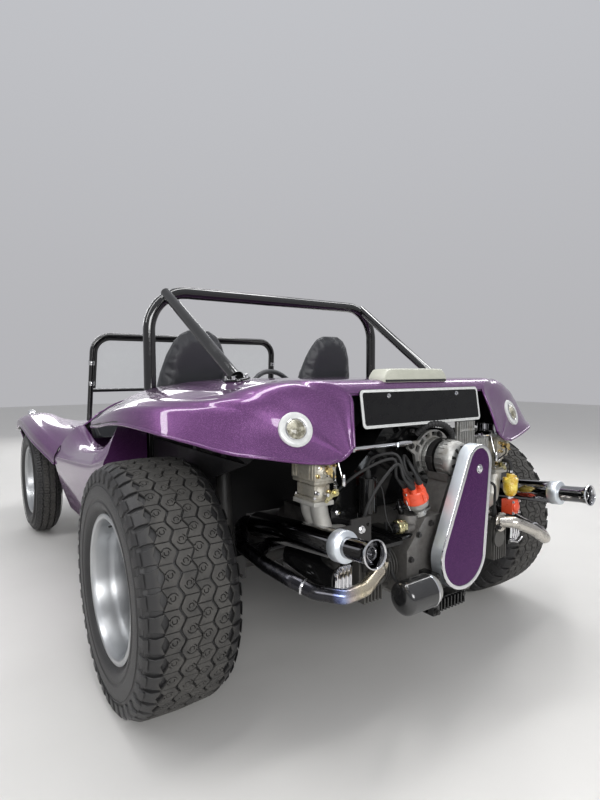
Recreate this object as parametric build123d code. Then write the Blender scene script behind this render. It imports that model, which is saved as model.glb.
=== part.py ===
from build123d import *
import os
from math import acos, asin, cos, degrees, radians, sin, sqrt, tan

# Short-wheelbase beach buggy: glass-fibre body on a shortened pan chassis, flat-four engine open
# at the back. Millimetres. X to the right, Y forward, Z up, origin on the ground below the middle.
# Places along the car are measured forward from the rear axle; at_y() moves them to the origin.

# Driving dimensions
wheelbase = 2030
rear_axle_y = -910
seat_gap = 0.3              # clearance where a piece rests against a curved one

rear_tyre_radius = 355
rear_tyre_width = 268
rear_wheel_x = 716          # middle of the rear tyre
rear_rim_radius = 208
front_tyre_radius = 313
front_tyre_width = 146
front_wheel_x = 692
front_rim_radius = 200
tyre_wall = 14

shell = 8                   # glass-fibre thickness
pan_z = 230                 # underside of the floor pan
pan_thickness = 15
pan_half_width = 600
pan_rear = 380
pan_front = 1640

deck_z = 942
cowl_front = 400
cowl_rear = -450
cowl_lip = -405             # rear edge of the deck over the engine
engine_opening_half = 278   # at the lip; wider lower down
tub_half = 560              # outer face of the rear inner walls
side_inner = 582            # inner face of the side bodies
side_front = 1340
clip_rear = side_front + seat_gap
clip_front = wheelbase + 410
nose_front = clip_front + 60
nose_wall_x = 360

crank_z = 415
alternator_x = 45           # its shaft stands right of the crank
alternator_z = 705
engine_front = -190         # face that bolts to the gearbox
engine_rear = -500
head_inner_x = 245
head_x = 325                # outer face of the cylinder heads
rocker_x = 398
cylinder_ys = (-306, -418)
silencer_x = 460
silencer_z = 560
silencer_radius = 36

hoop_x = 556
hoop_y = 430
hoop_top = 1289
hoop_radius = 22.5
stay_x = 490
stay_foot = (453, -58, 940.9)      # middle of its pad on the deck
deck_slope = 7.5
stay_radius = 19

screen_half_width = 548
screen_top = 1165
screen_foot_z = 730
screen_foot_y = 1362
screen_rake = 6.5
screen_tube = 13

seat_x = 338
column_tube = 22
seat_half_width = 195

beam_y = wheelbase + 150    # front axle tubes
beam_half = 440
beam_lower_z = 250
beam_upper_z = 400
king_pin_x = 545
steer_arm = 120
drop_arm_x = 150
tie_rod_z = 445

column_top = (338, 960, 800)      # centre of the steering wheel
column_foot = (182, wheelbase - 45, 470)


def at_y(distance_from_rear_axle):
    return rear_axle_y + distance_from_rear_axle


def box(x0, x1, y0, y1, z0, z1):
    """A block between limits; y is measured from the rear axle."""
    return Pos((x0 + x1) / 2, at_y((y0 + y1) / 2), (z0 + z1) / 2) * Box(x1 - x0, y1 - y0, z1 - z0)


def rod(start, end, radius):
    """A round bar between two points whose y is measured from the rear axle."""
    a = Vector(start[0], at_y(start[1]), start[2])
    b = Vector(end[0], at_y(end[1]), end[2])
    way = b - a
    return Plane(origin=a, z_dir=way) * Pos(0, 0, way.length / 2) * Cylinder(radius, way.length)


def pipe(points, radius, bends, wall=0):
    """A tube along straight runs joined by arcs; y is measured from the rear axle."""
    path = FilletPolyline(*[(x, at_y(y), z) for x, y, z in points], radius=bends)
    ring = Circle(radius) - Circle(radius - wall) if wall else Circle(radius)
    return sweep(Plane(origin=path @ 0, z_dir=path % 0) * ring, path=path)


def extrude_yz(points, x0, x1):
    """A side profile, points (y from the rear axle, z), pushed from x0 to x1."""
    face = make_face(Polyline(*[(at_y(y), z) for y, z in points], close=True))
    return extrude(Plane(origin=(x0, 0, 0), x_dir=(0, 1, 0), z_dir=(1, 0, 0)) * face, x1 - x0)


def extrude_xz(points, y0, y1):
    """A front profile, points (x, z), pushed from y0 forward to y1."""
    face = make_face(Polyline(*points, close=True))
    plane = Plane(origin=(0, at_y(y1), 0), x_dir=(1, 0, 0), z_dir=(0, -1, 0))
    return extrude(plane * face, y1 - y0)


def extrude_xy(points, z0, z1):
    """A plan profile, points (x, y from the rear axle), pushed from z0 up to z1."""
    face = make_face(Polyline(*[(x, at_y(y)) for x, y in points], close=True))
    return extrude(Plane.XY.offset(z0) * face, z1 - z0)


def loft_xz(sections):
    """Joins closed outlines [(y, [(x, z), ...]), ...] into one solid."""
    faces = [
        Face(Wire.make_polygon([Vector(x, at_y(y), z) for x, z in outline], close=True))
        for y, outline in sections
    ]
    return loft(faces, ruled=True)


def both_sides(half):
    """The whole outline from its right half, points (x, z) from the middle outwards."""
    left = [(-x, z) for x, z in reversed(half) if x > 0]
    return left + list(half)


def mirrored(shape):
    return mirror(shape, about=Plane.YZ)


def revolve_x(profile):
    """Turns a closed profile of (distance along X, radius) points about the X axis."""
    return revolve(make_face(Polyline(*profile, close=True)), axis=Axis.X)


parts = {}


# Chassis: pan, backbone tunnel, torsion tube with its fork round the gearbox, frame head
torsion_y = 450
torsion_z = 330
torsion_radius = 48
torsion_half = 425
tunnel_half = 72
tunnel_top = 372
horn_in = 135
horn_out = 170
frame_head_half = 120
frame_head_z0 = 212
frame_head_z1 = 284
tube_radius = 25            # front axle tubes


def make_chassis():
    outline = [(pan_half_width, pan_rear), (pan_half_width, 1480), (410, pan_front)]
    outline += [(-x, y) for x, y in reversed(outline)]
    frame = extrude_xy(outline, pan_z, pan_z + pan_thickness)
    for x in (-480, -360, -240, 240, 360, 480):
        frame += box(x - 20, x + 20, pan_rear + 140, pan_front - 200, pan_z - 6, pan_z)
    frame += extrude_xz(
        [(-tunnel_half, pan_z), (-tunnel_half, 330), (-40, tunnel_top), (40, tunnel_top),
         (tunnel_half, 330), (tunnel_half, pan_z)], torsion_y, pan_front + 20)
    frame += rod((-torsion_half, torsion_y, torsion_z), (torsion_half, torsion_y, torsion_z), torsion_radius)
    frame += extrude_xy(
        [(-tunnel_half, pan_front - 60), (-frame_head_half, pan_front + 80),
         (-frame_head_half, beam_y - tube_radius - 12), (frame_head_half, beam_y - tube_radius - 12),
         (frame_head_half, pan_front + 80), (tunnel_half, pan_front - 60)], frame_head_z0, frame_head_z1)
    horn = extrude_yz(
        [(torsion_y, 290), (torsion_y, 360), (160, 292), (-60, 282), (-175, 295), (-175, 245), (-60, 232),
         (160, 240)], horn_in, horn_out)
    cradle = box(-horn_out, horn_out, -140, -100, 226, 246)
    return frame + horn + mirrored(horn) + cradle


# Transaxle between the fork's horns, final drive on the axle line
def make_gearbox():
    axis_up = Plane(origin=(0, at_y(engine_front), crank_z), x_dir=(1, 0, 0), z_dir=(0, 1, 0))
    bell = axis_up * Pos(0, 0, 35) * Cylinder(158, 70)
    cone = axis_up * Pos(0, 0, 70 + 50) * Cone(158, 105, 100)
    casing = box(-72, 72, -90, 260, 300, 440)
    drive = rod((-118, 0, rear_tyre_radius), (118, 0, rear_tyre_radius), 88)
    nose = rod((0, 250, 350), (0, 330, 350), 60)
    return bell + cone + casing + drive + nose


# Swing axle tubes, spring plates and dampers, one of each a side
drum_inner_x = 512
bearing_depth = 48
axle_radius = 20


def make_rear_suspension():
    z = rear_tyre_radius
    tube = rod((118.5, 0, z), (470, 0, z), 36) + rod((130, 0, z), (185, 0, z), 55)
    housing = rod((470, 0, z), (drum_inner_x - 4, 0, z), 58)
    plate = extrude_yz(
        [(torsion_y + 40, torsion_z - 38), (torsion_y + 40, torsion_z + 38), (20, z + 40), (-60, z + 40),
         (-60, z - 45), (20, z - 40)], 428, 440)
    lug = box(428, 470, -60, -20, z - 30, z + 30)
    damper = rod((455, 20, z + 20), (455, 40, 640), 24) + rod((455, 38, 600), (455, 42, 715), 12)
    eye = rod((440, 42, 715), (tub_half - shell - seat_gap, 42, 715), 16)
    shaft = rod((500, 0, z), (drum_inner_x + bearing_depth, 0, z), axle_radius)
    side = tube + housing + shaft + plate + lug + damper + eye
    return side + mirrored(side)


# Crankcase with its sump, crank nose, distributor boss and alternator stand
alternator_radius = 58
distributor = (-112, -452)
case_top = 550
sender = (-150, -478, 520)   # end of its boss


def make_engine_case():
    case = extrude_xz(
        [(-165, 335), (-165, 465), (-135, 500), (-90, case_top), (90, case_top), (135, 500), (165, 465),
         (165, 335), (110, 295), (-110, 295)], engine_rear, engine_front)
    nose = rod((0, engine_rear, crank_z), (0, engine_rear - 25, crank_z), 48)
    boss = Pos(distributor[0], at_y(distributor[1]), 526) * Cylinder(30, 56)
    sender_boss = rod((-120, sender[1], sender[2]), (sender[0], sender[1], sender[2]), 11)
    x = alternator_x
    z = alternator_z
    stand = extrude_xz([(-30, case_top), (x - 30, z - 60), (x + 30, z - 60), (30, case_top)], -495, -420)
    saddle = box(x - 38, x + 38, -495, -420, z - 66, z - 36)
    bore = rod((x, -600, z), (x, -300, z), alternator_radius + seat_gap)
    return case + nose + boss + sender_boss + stand + (saddle - bore)


# Oil pressure sender screwed into the crankcase
def make_oil_sender():
    x, y, z = sender
    can = rod((x - seat_gap, y, z), (x - 36, y, z), 20)
    terminal = rod((x - 36, y, z), (x - 48, y, z), 15)
    return can + terminal


# Finned barrels and cylinder heads, two cylinders a side
barrel_radius = 44
fin_radius = 54
fin_thickness = 3
head_y0 = -490
head_y1 = -235


def make_cylinders():
    bank = box(head_inner_x, head_x, head_y0 + 8, head_y1 - 8, 362, 470)
    for n in range(6):
        x = head_inner_x + 4 + n * 12
        bank += box(x, x + 4, head_y0, head_y1, 350, 482)
    for y in cylinder_ys:
        bank += rod((165, y, crank_z), (head_inner_x + 2, y, crank_z), barrel_radius)
        for n in range(7):
            x = 172 + n * 10
            bank += rod((x, y, crank_z), (x + fin_thickness, y, crank_z), fin_radius)
        bank += rod((165, y, 348), (head_inner_x + 2, y, 348), 9)
    for y0, y1 in ((head_y0 - 6, head_y0), (head_y1, head_y1 + 6)):
        bank += rod((270, y0, 420), (270, y1, 420), 27)
    return bank + mirrored(bank)


# Finned rocker covers held by wire bails
def make_rocker_covers():
    cover = box(head_x, rocker_x - 6, head_y0 + 12, head_y1 - 12, 372, 462)
    cover = fillet(cover.faces().sort_by(Axis.X)[-1].edges(), 14)
    for n in range(4):
        z = 388 + n * 18
        cover += box(rocker_x - 20, rocker_x, head_y0 + 28, head_y1 - 28, z, z + 5)
    bail = pipe(
        [(330, -362, 350), (rocker_x + 8, -362, 352), (rocker_x + 8, -362, 478), (330, -362, 480)], 3, 12)
    cover += box(322 + 3, 334, -372, -352, 346, 372) + box(325, 334, -372, -352, 462, 484)
    side = cover + bail
    return side + mirrored(side)


# Fan housing and cylinder tinware
shroud_front = -225
shroud_rear = -345


def make_fan_shroud():
    wings = extrude_xz(
        [(-310, 496), (-310, 575), (-240, 660), (-120, 760), (120, 760), (240, 660), (310, 575), (310, 496),
         (172, 496), (172, 556), (-172, 556), (-172, 496)], shroud_rear, shroud_front)
    drum = rod((0, shroud_rear, 665), (0, shroud_front, 665), 165)
    above = box(-200, 200, shroud_rear, shroud_front, case_top + 6, 900)
    tin = box(172, 238, head_y0, head_y1, 486, 496)
    coil_can = Pos(coil[0], at_y(coil[1]), coil_top - 50) * Cylinder(26, 100)
    clamp = box(coil[0] - 14, coil[0] + 14, coil[1] + 20, shroud_rear, coil_top - 66, coil_top - 34)
    return wings + (drum & above) + tin + mirrored(tin) + coil_can + clamp


# Alternator on its stand, shaft running forward into the fan
def make_alternator():
    x = alternator_x
    z = alternator_z
    body = rod((x, -372, z), (x, -505, z), alternator_radius)
    front = rod((x, shroud_rear, z), (x, -372, z), 30)
    neck = rod((x, -505, z), (x, guard_front + seat_gap, z), 22)
    for n in range(12):
        a = radians(n * 30)
        vent = (x + 44 * cos(a), z + 44 * sin(a))
        body -= rod((vent[0], -498, vent[1]), (vent[0], -506, vent[1]), 6)
    return body + front + neck


# Drive-belt guard: pear-shaped band round a coloured face
guard_lower = 85
guard_upper = 50
guard_rear = -580
guard_front = -525
guard_band = 12
guard_recess = 6


def guard_outline(inset, y0, y1):
    """Two circles and their common tangents, pushed from y0 forward to y1, leaning from crank to alternator."""
    low = guard_lower - inset
    high = guard_upper - inset
    span = sqrt(alternator_x ** 2 + (alternator_z - crank_z) ** 2)
    flank = acos((low - high) / span)
    side = [(low * sin(flank), low * cos(flank)), (high * sin(flank), span + high * cos(flank))]
    upright = rod((0, y0, 0), (0, y1, 0), low) + rod((0, y0, span), (0, y1, span), high)
    upright += extrude_xz(side + [(-x, z) for x, z in reversed(side)], y0, y1)
    return Pos(0, 0, crank_z) * Rot(0, degrees(asin(alternator_x / span)), 0) * upright


def make_belt_guard():
    return guard_outline(0, guard_rear, guard_front) - guard_outline(guard_band, guard_rear, guard_rear + guard_recess)


def make_guard_face():
    return guard_outline(guard_band + seat_gap, guard_rear + 2, guard_rear + guard_recess)


# Finned breather tower on the oil filler neck
breather_x = 190
breather_half = 41
breather_top = 806


def make_oil_filler():
    neck = rod((84, -462, case_top + seat_gap), (84, -462, 612), 19)
    neck += rod((84, -462, 604), (breather_x - 20, -414, 704), 18)
    tower = box(breather_x - breather_half, breather_x + breather_half, -419, -406, 690, breather_top)
    for n in range(7):
        x = breather_x - breather_half + 5 + n * 12
        tower += box(x - 3, x + 3, -425, -418, 694, breather_top - 4)
    return neck + tower


# Distributor body, then its cap
def make_distributor():
    x, y = distributor
    body = Pos(x, at_y(y), 572) * Cylinder(19, 35.4) + Pos(x, at_y(y), 596) * Cylinder(32, 14)
    vacuum = rod((x - 28, y, 590), (x - 75, y, 590), 9) + rod((x - 62, y, 590), (x - 80, y, 590), 26)
    return body + vacuum


def make_distributor_cap():
    x, y = distributor
    cap = Pos(x, at_y(y), 603.3 + 16) * Cylinder(32, 32) + Pos(x, at_y(y), 640) * Cylinder(10, 20)
    for n in range(4):
        a = radians(45 + n * 90)
        cap += Pos(x + 20 * cos(a), at_y(y + 20 * sin(a)), 640) * Cylinder(7, 20)
    return cap


# Ignition leads from the cap's towers to the plugs
lead_radius = 4
coil = (-210, -390)
coil_top = 660


def make_ignition_leads():
    x, y = distributor
    routes = [
        [(x - 14, y + 14, 650.3), (x - 14, y + 14, 700), (-250, -362, 690), (-318, -352, 600), (-318, -300, 535),
         (-318, -300, 471)],
        [(x - 14, y - 14, 650.3), (x - 14, y - 14, 676), (-220, -470, 670), (-292, -462, 590), (-292, -458, 483)],
        [(x + 14, y + 14, 650.3), (x + 14, y + 14, 690), (-74, -382, 630), (70, -380, 600), (236, -370, 640),
         (318, -352, 600), (318, -300, 535), (318, -300, 471)],
        [(x + 14, y - 14, 650.3), (x + 14, y - 14, 706), (-70, -398, 622), (76, -400, 585), (210, -462, 600),
         (292, -462, 590), (292, -458, 483)],
        [(x, y, 650.3), (x, y, 730), (coil[0], coil[1], 730), (coil[0], coil[1], coil_top + seat_gap)],
    ]
    leads = [pipe(route, lead_radius, 14) for route in routes]
    return Compound(children=leads)


# Spin-on oil filter and its pump housing on the crankcase's back face
filter_y = engine_rear - 48.5


def make_oil_filter():
    pump = box(-118, 40, engine_rear - 40, engine_rear, 288, 326)
    for n in range(6):
        pump += box(-100 + n * 22, -94 + n * 22, engine_rear - 46, engine_rear - 38, 290, 324)
    pump += box(-118, -92, engine_rear - 56, engine_rear, 288, 405)
    pump += rod((-134, filter_y, 366), (-116, filter_y, 366), 40)
    can = rod((-240, filter_y, 366), (-134, filter_y, 366), 46)
    dome = rod((-248, filter_y, 366), (-240, filter_y, 366), 36)
    return pump + can + dome


# Twin-choke downdraught carburettor on a two-runner manifold, one a side
carb = (380, -368)
carb_z0 = 602


def make_manifolds():
    flange = box(carb[0] - 32, carb[0] + 32, carb[1] - 48, carb[1] + 48, carb_z0 - 12, carb_z0)
    side = flange
    for offset, port_y in ((22, -372), (-22, -412)):
        side += pipe(
            [(284, port_y, 482), (284, port_y, 535), (carb[0], carb[1] + offset, 548),
             (carb[0], carb[1] + offset, carb_z0 - 6)], 18, 26)
        side += box(256, 312, port_y - 19, port_y + 19, 482, 490)
    return side + mirrored(side)


def make_carburettors():
    x, y = carb
    side = box(x - 30, x + 30, y - 45, y + 45, carb_z0, carb_z0 + 40)
    side += box(x - 36, x + 36, y - 56, y + 56, carb_z0 + 48, carb_z0 + 120)
    side += box(x - 30, x + 30, y - 45, y + 45, carb_z0 + 38, carb_z0 + 50)
    side += box(x - 58, x - 34, y - 30, y + 30, carb_z0 + 52, carb_z0 + 104)
    side += box(x - 44, x + 44, y - 62, y + 62, carb_z0 + 120, carb_z0 + 126)
    for offset in (22, -22):
        side += Pos(x, at_y(y + offset), carb_z0 + 141) * (Cylinder(24, 30) - Cylinder(19, 30))
    side += rod((x, y - 64, carb_z0 + 20), (x, y + 64, carb_z0 + 20), 5)
    side += rod((x, y - 56, carb_z0 + 84), (x, y - 72, carb_z0 + 84), 13)
    return side + mirrored(side)


# Fuel filter bowl hung from the right carburettor's inlet, with the pressure regulator below it
def make_fuel_filter():
    x = carb[0] + 5
    y = carb[1] - 88
    bowl = Pos(x, at_y(y), 568) * Cylinder(24, 64)
    bowl += Pos(x, at_y(y), 606) * Cylinder(15, 14)
    return bowl + pipe([(x, y, 610), (x, y, 655), (x, carb[1] - 56 - seat_gap, 655)], 6, [16])


def make_fuel_regulator():
    x = carb[0] + 5
    y = carb[1] - 88
    body = box(x - 20, x + 22, y - 22, y + 20, 478, 526)
    return body + Pos(x, at_y(y), 530) * Cylinder(10, 12 - 2 * seat_gap)


# Cross rod that opens both carburettors
def make_throttle_linkage():
    x, y = carb
    z = carb_z0 + 174
    bar = rod((40 - x, y - 32, z), (x - 40, y - 32, z), 4)
    hub = rod((-32, y - 32, z), (-8, y - 32, z), 14)
    side = box(x - 43, x - 35, y - 40, y - 24, carb_z0 + 126, z + 6)
    return bar + hub + side + mirrored(side)


# Exhaust, one a side: header, silencer, clamp collar and flared tail pipe, with the silencer's hanger
tail_end = -690
tail_radius = 25
tail_flare = 34
collar_rear = -600
collar_front = -556
hanger_y = -493.3


def make_exhaust():
    x = silencer_x
    z = silencer_z
    silencer = rod((x, collar_front, z), (x, -180, z), silencer_radius)
    collar = rod((x, collar_rear, z), (x, collar_front + 2, z), silencer_radius + 4)
    tail = revolve(
        make_face(Polyline((0, 0), (0, tail_radius), (62, tail_radius), (84, tail_flare), (90, tail_flare), (90, 0),
                           close=True)), axis=Axis.X)
    tail = Plane(origin=(x, at_y(collar_rear), z), x_dir=(0, -1, 0), z_dir=(1, 0, 0)) * tail
    tail -= rod((x, tail_end - 1, z), (x, tail_end + 40, z), tail_radius - 2)
    tail += rod((x, tail_end + 14, z), (x, tail_end + 41, z), 15) - rod((x, tail_end, z), (x, tail_end + 30, z), 12)
    header = pipe(
        [(270, head_y0 - 6.3, 420), (270, -560, 420), (400, -598, 436), (478, -520, 402), (480, -250, 400),
         (480, -100, 440), (x, -80, z), (x, -185, z)],
        19, [34, 40, 46, 60, 36, 36])
    front = pipe([(270, head_y1 + 6.3, 420), (270, -180, 420), (420, -170, 402), (480, -300, 400)], 19, [30, 40])
    hanger = box(300, 322, hanger_y - 3, hanger_y + 3, 440, 530) + box(290, 364, hanger_y - 3, hanger_y + 3, 522, 584)
    hanger += box(360, x - silencer_radius + 8, hanger_y - 3, hanger_y + 3, 544, 576)
    return silencer + collar + tail + header + front + hanger


# Rear cowl over the engine, with its wings
# y, deck half width, deck z, crest x, crest z, crease x, crease z, lower edge x, lower edge z
cowl_stations = [
    (cowl_front, 400, 926, 600, 900, 778, 792, 776, 778),
    (220, 410, 938, 600, 912, 795, 822, 796, 796),
    (0, 420, deck_z, 640, 914, 796, 862, 802, 822),
    (-150, 420, deck_z, 620, 908, 752, 878, 772, 814),
    (-250, 405, deck_z, 560, 912, 670, 876, 722, 796),
    (-330, 390, deck_z - 1, 500, 900, 590, 858, 664, 776),
    (-366, 370, 936, 470, 878, 556, 824, 632, 766),
    (cowl_lip, 290, 905, 380, 838, 470, 784, 572, 756),
    (-430, 300, 845, 350, 795, 400, 755, 455, 736),
    (cowl_rear, 318, 768, 335, 750, 356, 734, 385, 722),
]


def cowl_body(inset, drop):
    sections = []
    for y, deck_x, deck, crest_x, crest_z, crease_x, crease_z, edge_x, edge_z in cowl_stations:
        half = [(deck_x - inset / 3, deck - inset), (crest_x - inset / 2, crest_z - inset),
                (crease_x - inset, crease_z - inset / 2), (edge_x - inset, edge_z - drop)]
        sections.append((y, both_sides(half)))
    return loft_xz(sections)


def cowl_inside():
    """The space under the cowl, a shell's thickness in from its top, its sides and its leaning back."""
    space = cowl_body(shell, 60)
    return space & (Pos(0, shell, 0) * space)


def make_rear_cowl():
    cavity = cowl_inside() & box(-900, 900, cowl_rear, cowl_front + 1, 0, 1200)
    opening = extrude_xz(
        [(-engine_opening_half - 45, 640), (-engine_opening_half, 960), (engine_opening_half, 960),
         (engine_opening_half + 45, 640)], cowl_rear - 1, cowl_lip)
    return cowl_body(0, 0) - cavity - opening


# Black inner tub behind the seats: back wall and inner wheel-arch walls
def make_rear_tub():
    back = extrude_xz(
        [(-tub_half, pan_z + pan_thickness), (-tub_half, deck_z), (tub_half, deck_z),
         (tub_half, pan_z + pan_thickness)], pan_rear + 5, pan_rear + 5 + shell)
    back -= box(-horn_out - 6, horn_out + 6, pan_rear, pan_rear + 20, 240, 376)
    plate_slot = box(416, 452, pan_rear, pan_rear + 20, 262, 384)
    back -= plate_slot + mirrored(plate_slot)
    wall = extrude_yz(
        [(pan_rear + 5, 260), (pan_rear + 5, deck_z), (-430, deck_z), (-430, 800), (-300, 720), (-60, 640),
         (150, 520), (300, 300), (320, 260)], tub_half - shell, tub_half)
    under_cowl = Pos(0, seat_gap, -seat_gap) * cowl_inside() + box(-800, 800, -600, 600, 0, 720)
    return (back + wall + mirrored(wall)) & under_cowl


# Side bodies: sill and cockpit side in one moulding
# y, rim z, crease z, crease x, foot x
side_stations = [
    (cowl_front + 1, 872, 640, 742, 664),
    (520, 765, 612, 740, 662),
    (650, 690, 588, 737, 660),
    (1050, 622, 552, 735, 660),
    (side_front, 690, 530, 735, 660),
]


def make_side_body():
    sections = []
    for y, rim_z, crease_z, crease_x, foot_x in side_stations:
        sections.append((y, [(side_inner, pan_z + pan_thickness), (foot_x, 262), (crease_x, crease_z),
                             (crease_x - 12, crease_z + 14), (628, rim_z - 10), (612, rim_z), (side_inner, rim_z)]))
    return loft_xz(sections)


# Front clip: scuttle, bonnet and front wings in one moulding
# y, crown z, shoulder x z, valley x z, crest x z, edge x z, lower edge z
clip_stations = [
    (clip_rear, 845, 420, 815, 580, 700, 660, 640, 735, 548, 505),
    (1650, 800, 410, 740, 530, 668, 690, 688, 787, 645, 588),
    (wheelbase, 722, 370, 668, 460, 648, 660, 722, 794, 690, 642),
    (wheelbase + 250, 632, 330, 592, 420, 592, 640, 702, 782, 655, 600),
    (clip_front, 552, 300, 522, 400, 548, 620, 682, 752, 640, 585),
]
headlamp = (585, 556)
headlamp_radius = 80
rod_slot = (wheelbase - 180, wheelbase + 60, 405, 485)


def clip_core():
    """The front clip's outside, filled down to below the wheel arches."""
    sections = []
    for y, crown, sh_x, sh_z, va_x, va_z, cr_x, cr_z, ed_x, ed_z, low in clip_stations:
        half = [(0, crown), (sh_x, sh_z), (va_x, va_z), (cr_x, cr_z), (ed_x, ed_z), (ed_x, low - 200)]
        sections.append((y, both_sides(half)))
    return loft_xz(sections)


def make_front_clip():
    sections = []
    for y, crown, sh_x, sh_z, va_x, va_z, cr_x, cr_z, ed_x, ed_z, low in clip_stations:
        outer = [(0, crown), (sh_x, sh_z), (va_x, va_z), (cr_x, cr_z), (ed_x, ed_z), (ed_x, low)]
        inner = [(ed_x - shell, low), (ed_x - shell, ed_z - shell / 2), (cr_x, cr_z - shell),
                 (va_x, va_z - shell), (sh_x, sh_z - shell), (0, crown - shell)]
        outline = [(0, crown)] + outer[1:] + inner[:-1] + [(0, crown - shell)]
        outline += [(-x, z) for x, z in reversed(inner[:-1])] + [(-x, z) for x, z in reversed(outer[1:])]
        sections.append((y, outline))
    clip = loft_xz(sections)
    x0 = nose_wall_x - shell
    wall = extrude_yz(
        [(pan_front + 2, 290), (pan_front + 2, 728), (wheelbase, 650), (wheelbase + 250, 575), (clip_front, 530),
         (clip_front, 360), (wheelbase + 170, 290)], x0, nose_wall_x)
    slot_y0, slot_y1, slot_z0, slot_z1 = rod_slot
    wall -= box(x0 - 1, nose_wall_x + 1, slot_y0, slot_y1, slot_z0, slot_z1)
    for z in (beam_lower_z, beam_upper_z):
        wall -= rod((x0 - 1, beam_y, z), (nose_wall_x + 1, beam_y, z), tube_radius + 4)
    lamp_panel = extrude_xz(
        [(330, 500), (330, 520), (400, 544), (620, 678), (750, 636), (750, 580), (705, 470), (460, 462)],
        clip_front - shell, clip_front)
    lamp_panel -= rod((headlamp[0], clip_front - 20, headlamp[1]), (headlamp[0], clip_front + 20, headlamp[1]),
                      headlamp_radius + seat_gap)
    nose = loft_xz([(clip_front - shell, both_sides([(330, 540), (400, 500), (nose_wall_x, 360)])),
                    (nose_front, both_sides([(270, 500), (320, 470), (290, 385)]))])
    hollow = loft_xz([(clip_front - shell - 1, both_sides([(318, 532), (388, 500), (nose_wall_x - 10, 368)])),
                      (nose_front - shell, both_sides([(262, 492), (308, 468), (282, 393)]))])
    return clip + wall + mirrored(wall) + lamp_panel + mirrored(lamp_panel) + (nose - hollow)


# Footwell ahead of the doorways, drawn in towards the wheels, with the toe board
# y, inner x, foot x, crease x, top x, top z
footwell_depth = 240
toe_board = side_front + footwell_depth      # front face
toe_board_top = 640
footwell_stations = [
    (clip_rear, 640, 652, 718, 700, 572),
    (toe_board, 496, 508, 548, 530, toe_board_top),
]


def make_footwell():
    sections = []
    for y, inner_x, foot_x, crease_x, top_x, top_z in footwell_stations:
        sections.append((y, [(inner_x, pan_z + pan_thickness), (foot_x, 262), (crease_x, 500), (top_x, top_z),
                             (inner_x, top_z)]))
    cheek = loft_xz(sections)
    board = box(-500, 500, toe_board - shell, toe_board, pan_z + pan_thickness, toe_board_top)
    board -= box(-tunnel_half - 1, tunnel_half + 1, toe_board - shell - 2, toe_board + 2, pan_z, tunnel_top + 1)
    board -= rod(column_point(500), column_foot, 16)
    return cheek + board + mirrored(cheek)


# Dashboard, padded and black
def make_dashboard():
    outline = both_sides([(0, 842), (414, 812), (566, 708), (545, 620)])
    dash = extrude_xz(outline, side_front - 70, clip_rear - seat_gap)
    return dash - rod(column_point(200), column_point(550), column_tube + 4)


# Windscreen: bent tube round flat glass
def screen_point(x, z):
    return (x, screen_foot_y - (z - screen_foot_z) * tan(radians(screen_rake)), z)


screen_rail_z = 868


def make_screen_frame():
    foot = screen_point(screen_half_width + 8, screen_foot_z - 30)
    top = screen_point(screen_half_width - 8, screen_top - screen_tube)
    hoop = pipe([foot, top, (-top[0], top[1], top[2]), (-foot[0], foot[1], foot[2])], screen_tube, 92)
    rail_end = screen_point(screen_half_width + 2, screen_rail_z)
    rail = rod(rail_end, (-rail_end[0], rail_end[1], rail_end[2]), 9)
    return hoop + rail - Pos(0, 0, seat_gap) * clip_core()


def make_screen_glass():
    y_top = screen_foot_y - (screen_top - screen_foot_z) * tan(radians(screen_rake))
    height = (screen_top - 2 * screen_tube - screen_rail_z - 9) / cos(radians(screen_rake)) - 2 * seat_gap
    low = screen_point(0, screen_rail_z + 9 + seat_gap)
    plane = Plane(origin=(0, at_y(low[1]), low[2]), x_dir=(1, 0, 0),
                  z_dir=(0, -cos(radians(screen_rake)), -sin(radians(screen_rake))))
    half = screen_half_width - screen_tube - 8 - seat_gap
    sheet = plane * Pos(0, height / 2, 0) * Box(2 * half, height, 5)
    return fillet(sheet.edges().filter_by(lambda e: abs(e.length - 5) < 0.01).sort_by(Axis.Z)[-2:], 80)


# Roll bar: main hoop behind the seats and two stays down to the deck
def make_roll_bar():
    top = hoop_top - hoop_radius
    foot = pan_z + pan_thickness
    hoop = pipe([(-hoop_x, hoop_y, foot), (-hoop_x, hoop_y, top), (hoop_x, hoop_y, top), (hoop_x, hoop_y, foot)],
                hoop_radius, 150)
    x, y, z = stay_foot
    foot_plane = Pos(x, at_y(y), z) * Rot(0, deck_slope, 0)
    stay = rod((stay_x, hoop_y, top - 5), (x, y - 4, z - 10), stay_radius)
    stay = stay - foot_plane * Pos(0, 0, -50) * Box(200, 200, 100) + foot_plane * Cylinder(42, 6)
    return hoop + stay + mirrored(stay)


# Bucket seats with high, round-topped backs
def make_seat():
    back = extrude_yz(
        [(640, 330), (690, 345), (590, 700), (492, 1125), (470, 1150), (445, 1140), (440, 1110), (520, 700),
         (600, 360)], seat_x - seat_half_width, seat_x + seat_half_width)
    outline = extrude_xz(
        [(-seat_half_width, 300), (-seat_half_width, 800), (-185, 960), (-130, 1090), (-90, 1140), (-40, 1160),
         (40, 1160), (90, 1140), (130, 1090), (185, 960), (seat_half_width, 800), (seat_half_width, 300)],
        400, 800)
    back = back & (Pos(seat_x, 0, 0) * outline)
    cushion = extrude_yz(
        [(600, 290), (600, 400), (680, 372), (1040, 400), (1075, 385), (1075, 300)],
        seat_x - seat_half_width - 15, seat_x + seat_half_width + 15)
    bolster = extrude_yz(
        [(640, 370), (560, 700), (600, 720), (680, 560), (760, 440), (1020, 420), (1020, 370)],
        seat_x + seat_half_width - 35, seat_x + seat_half_width)
    base = box(seat_x - 150, seat_x + 150, 660, 1020, pan_z + pan_thickness, 305)
    other = Pos(2 * seat_x, 0, 0) * mirrored(bolster)
    return back + cushion + bolster + other + base


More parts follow.
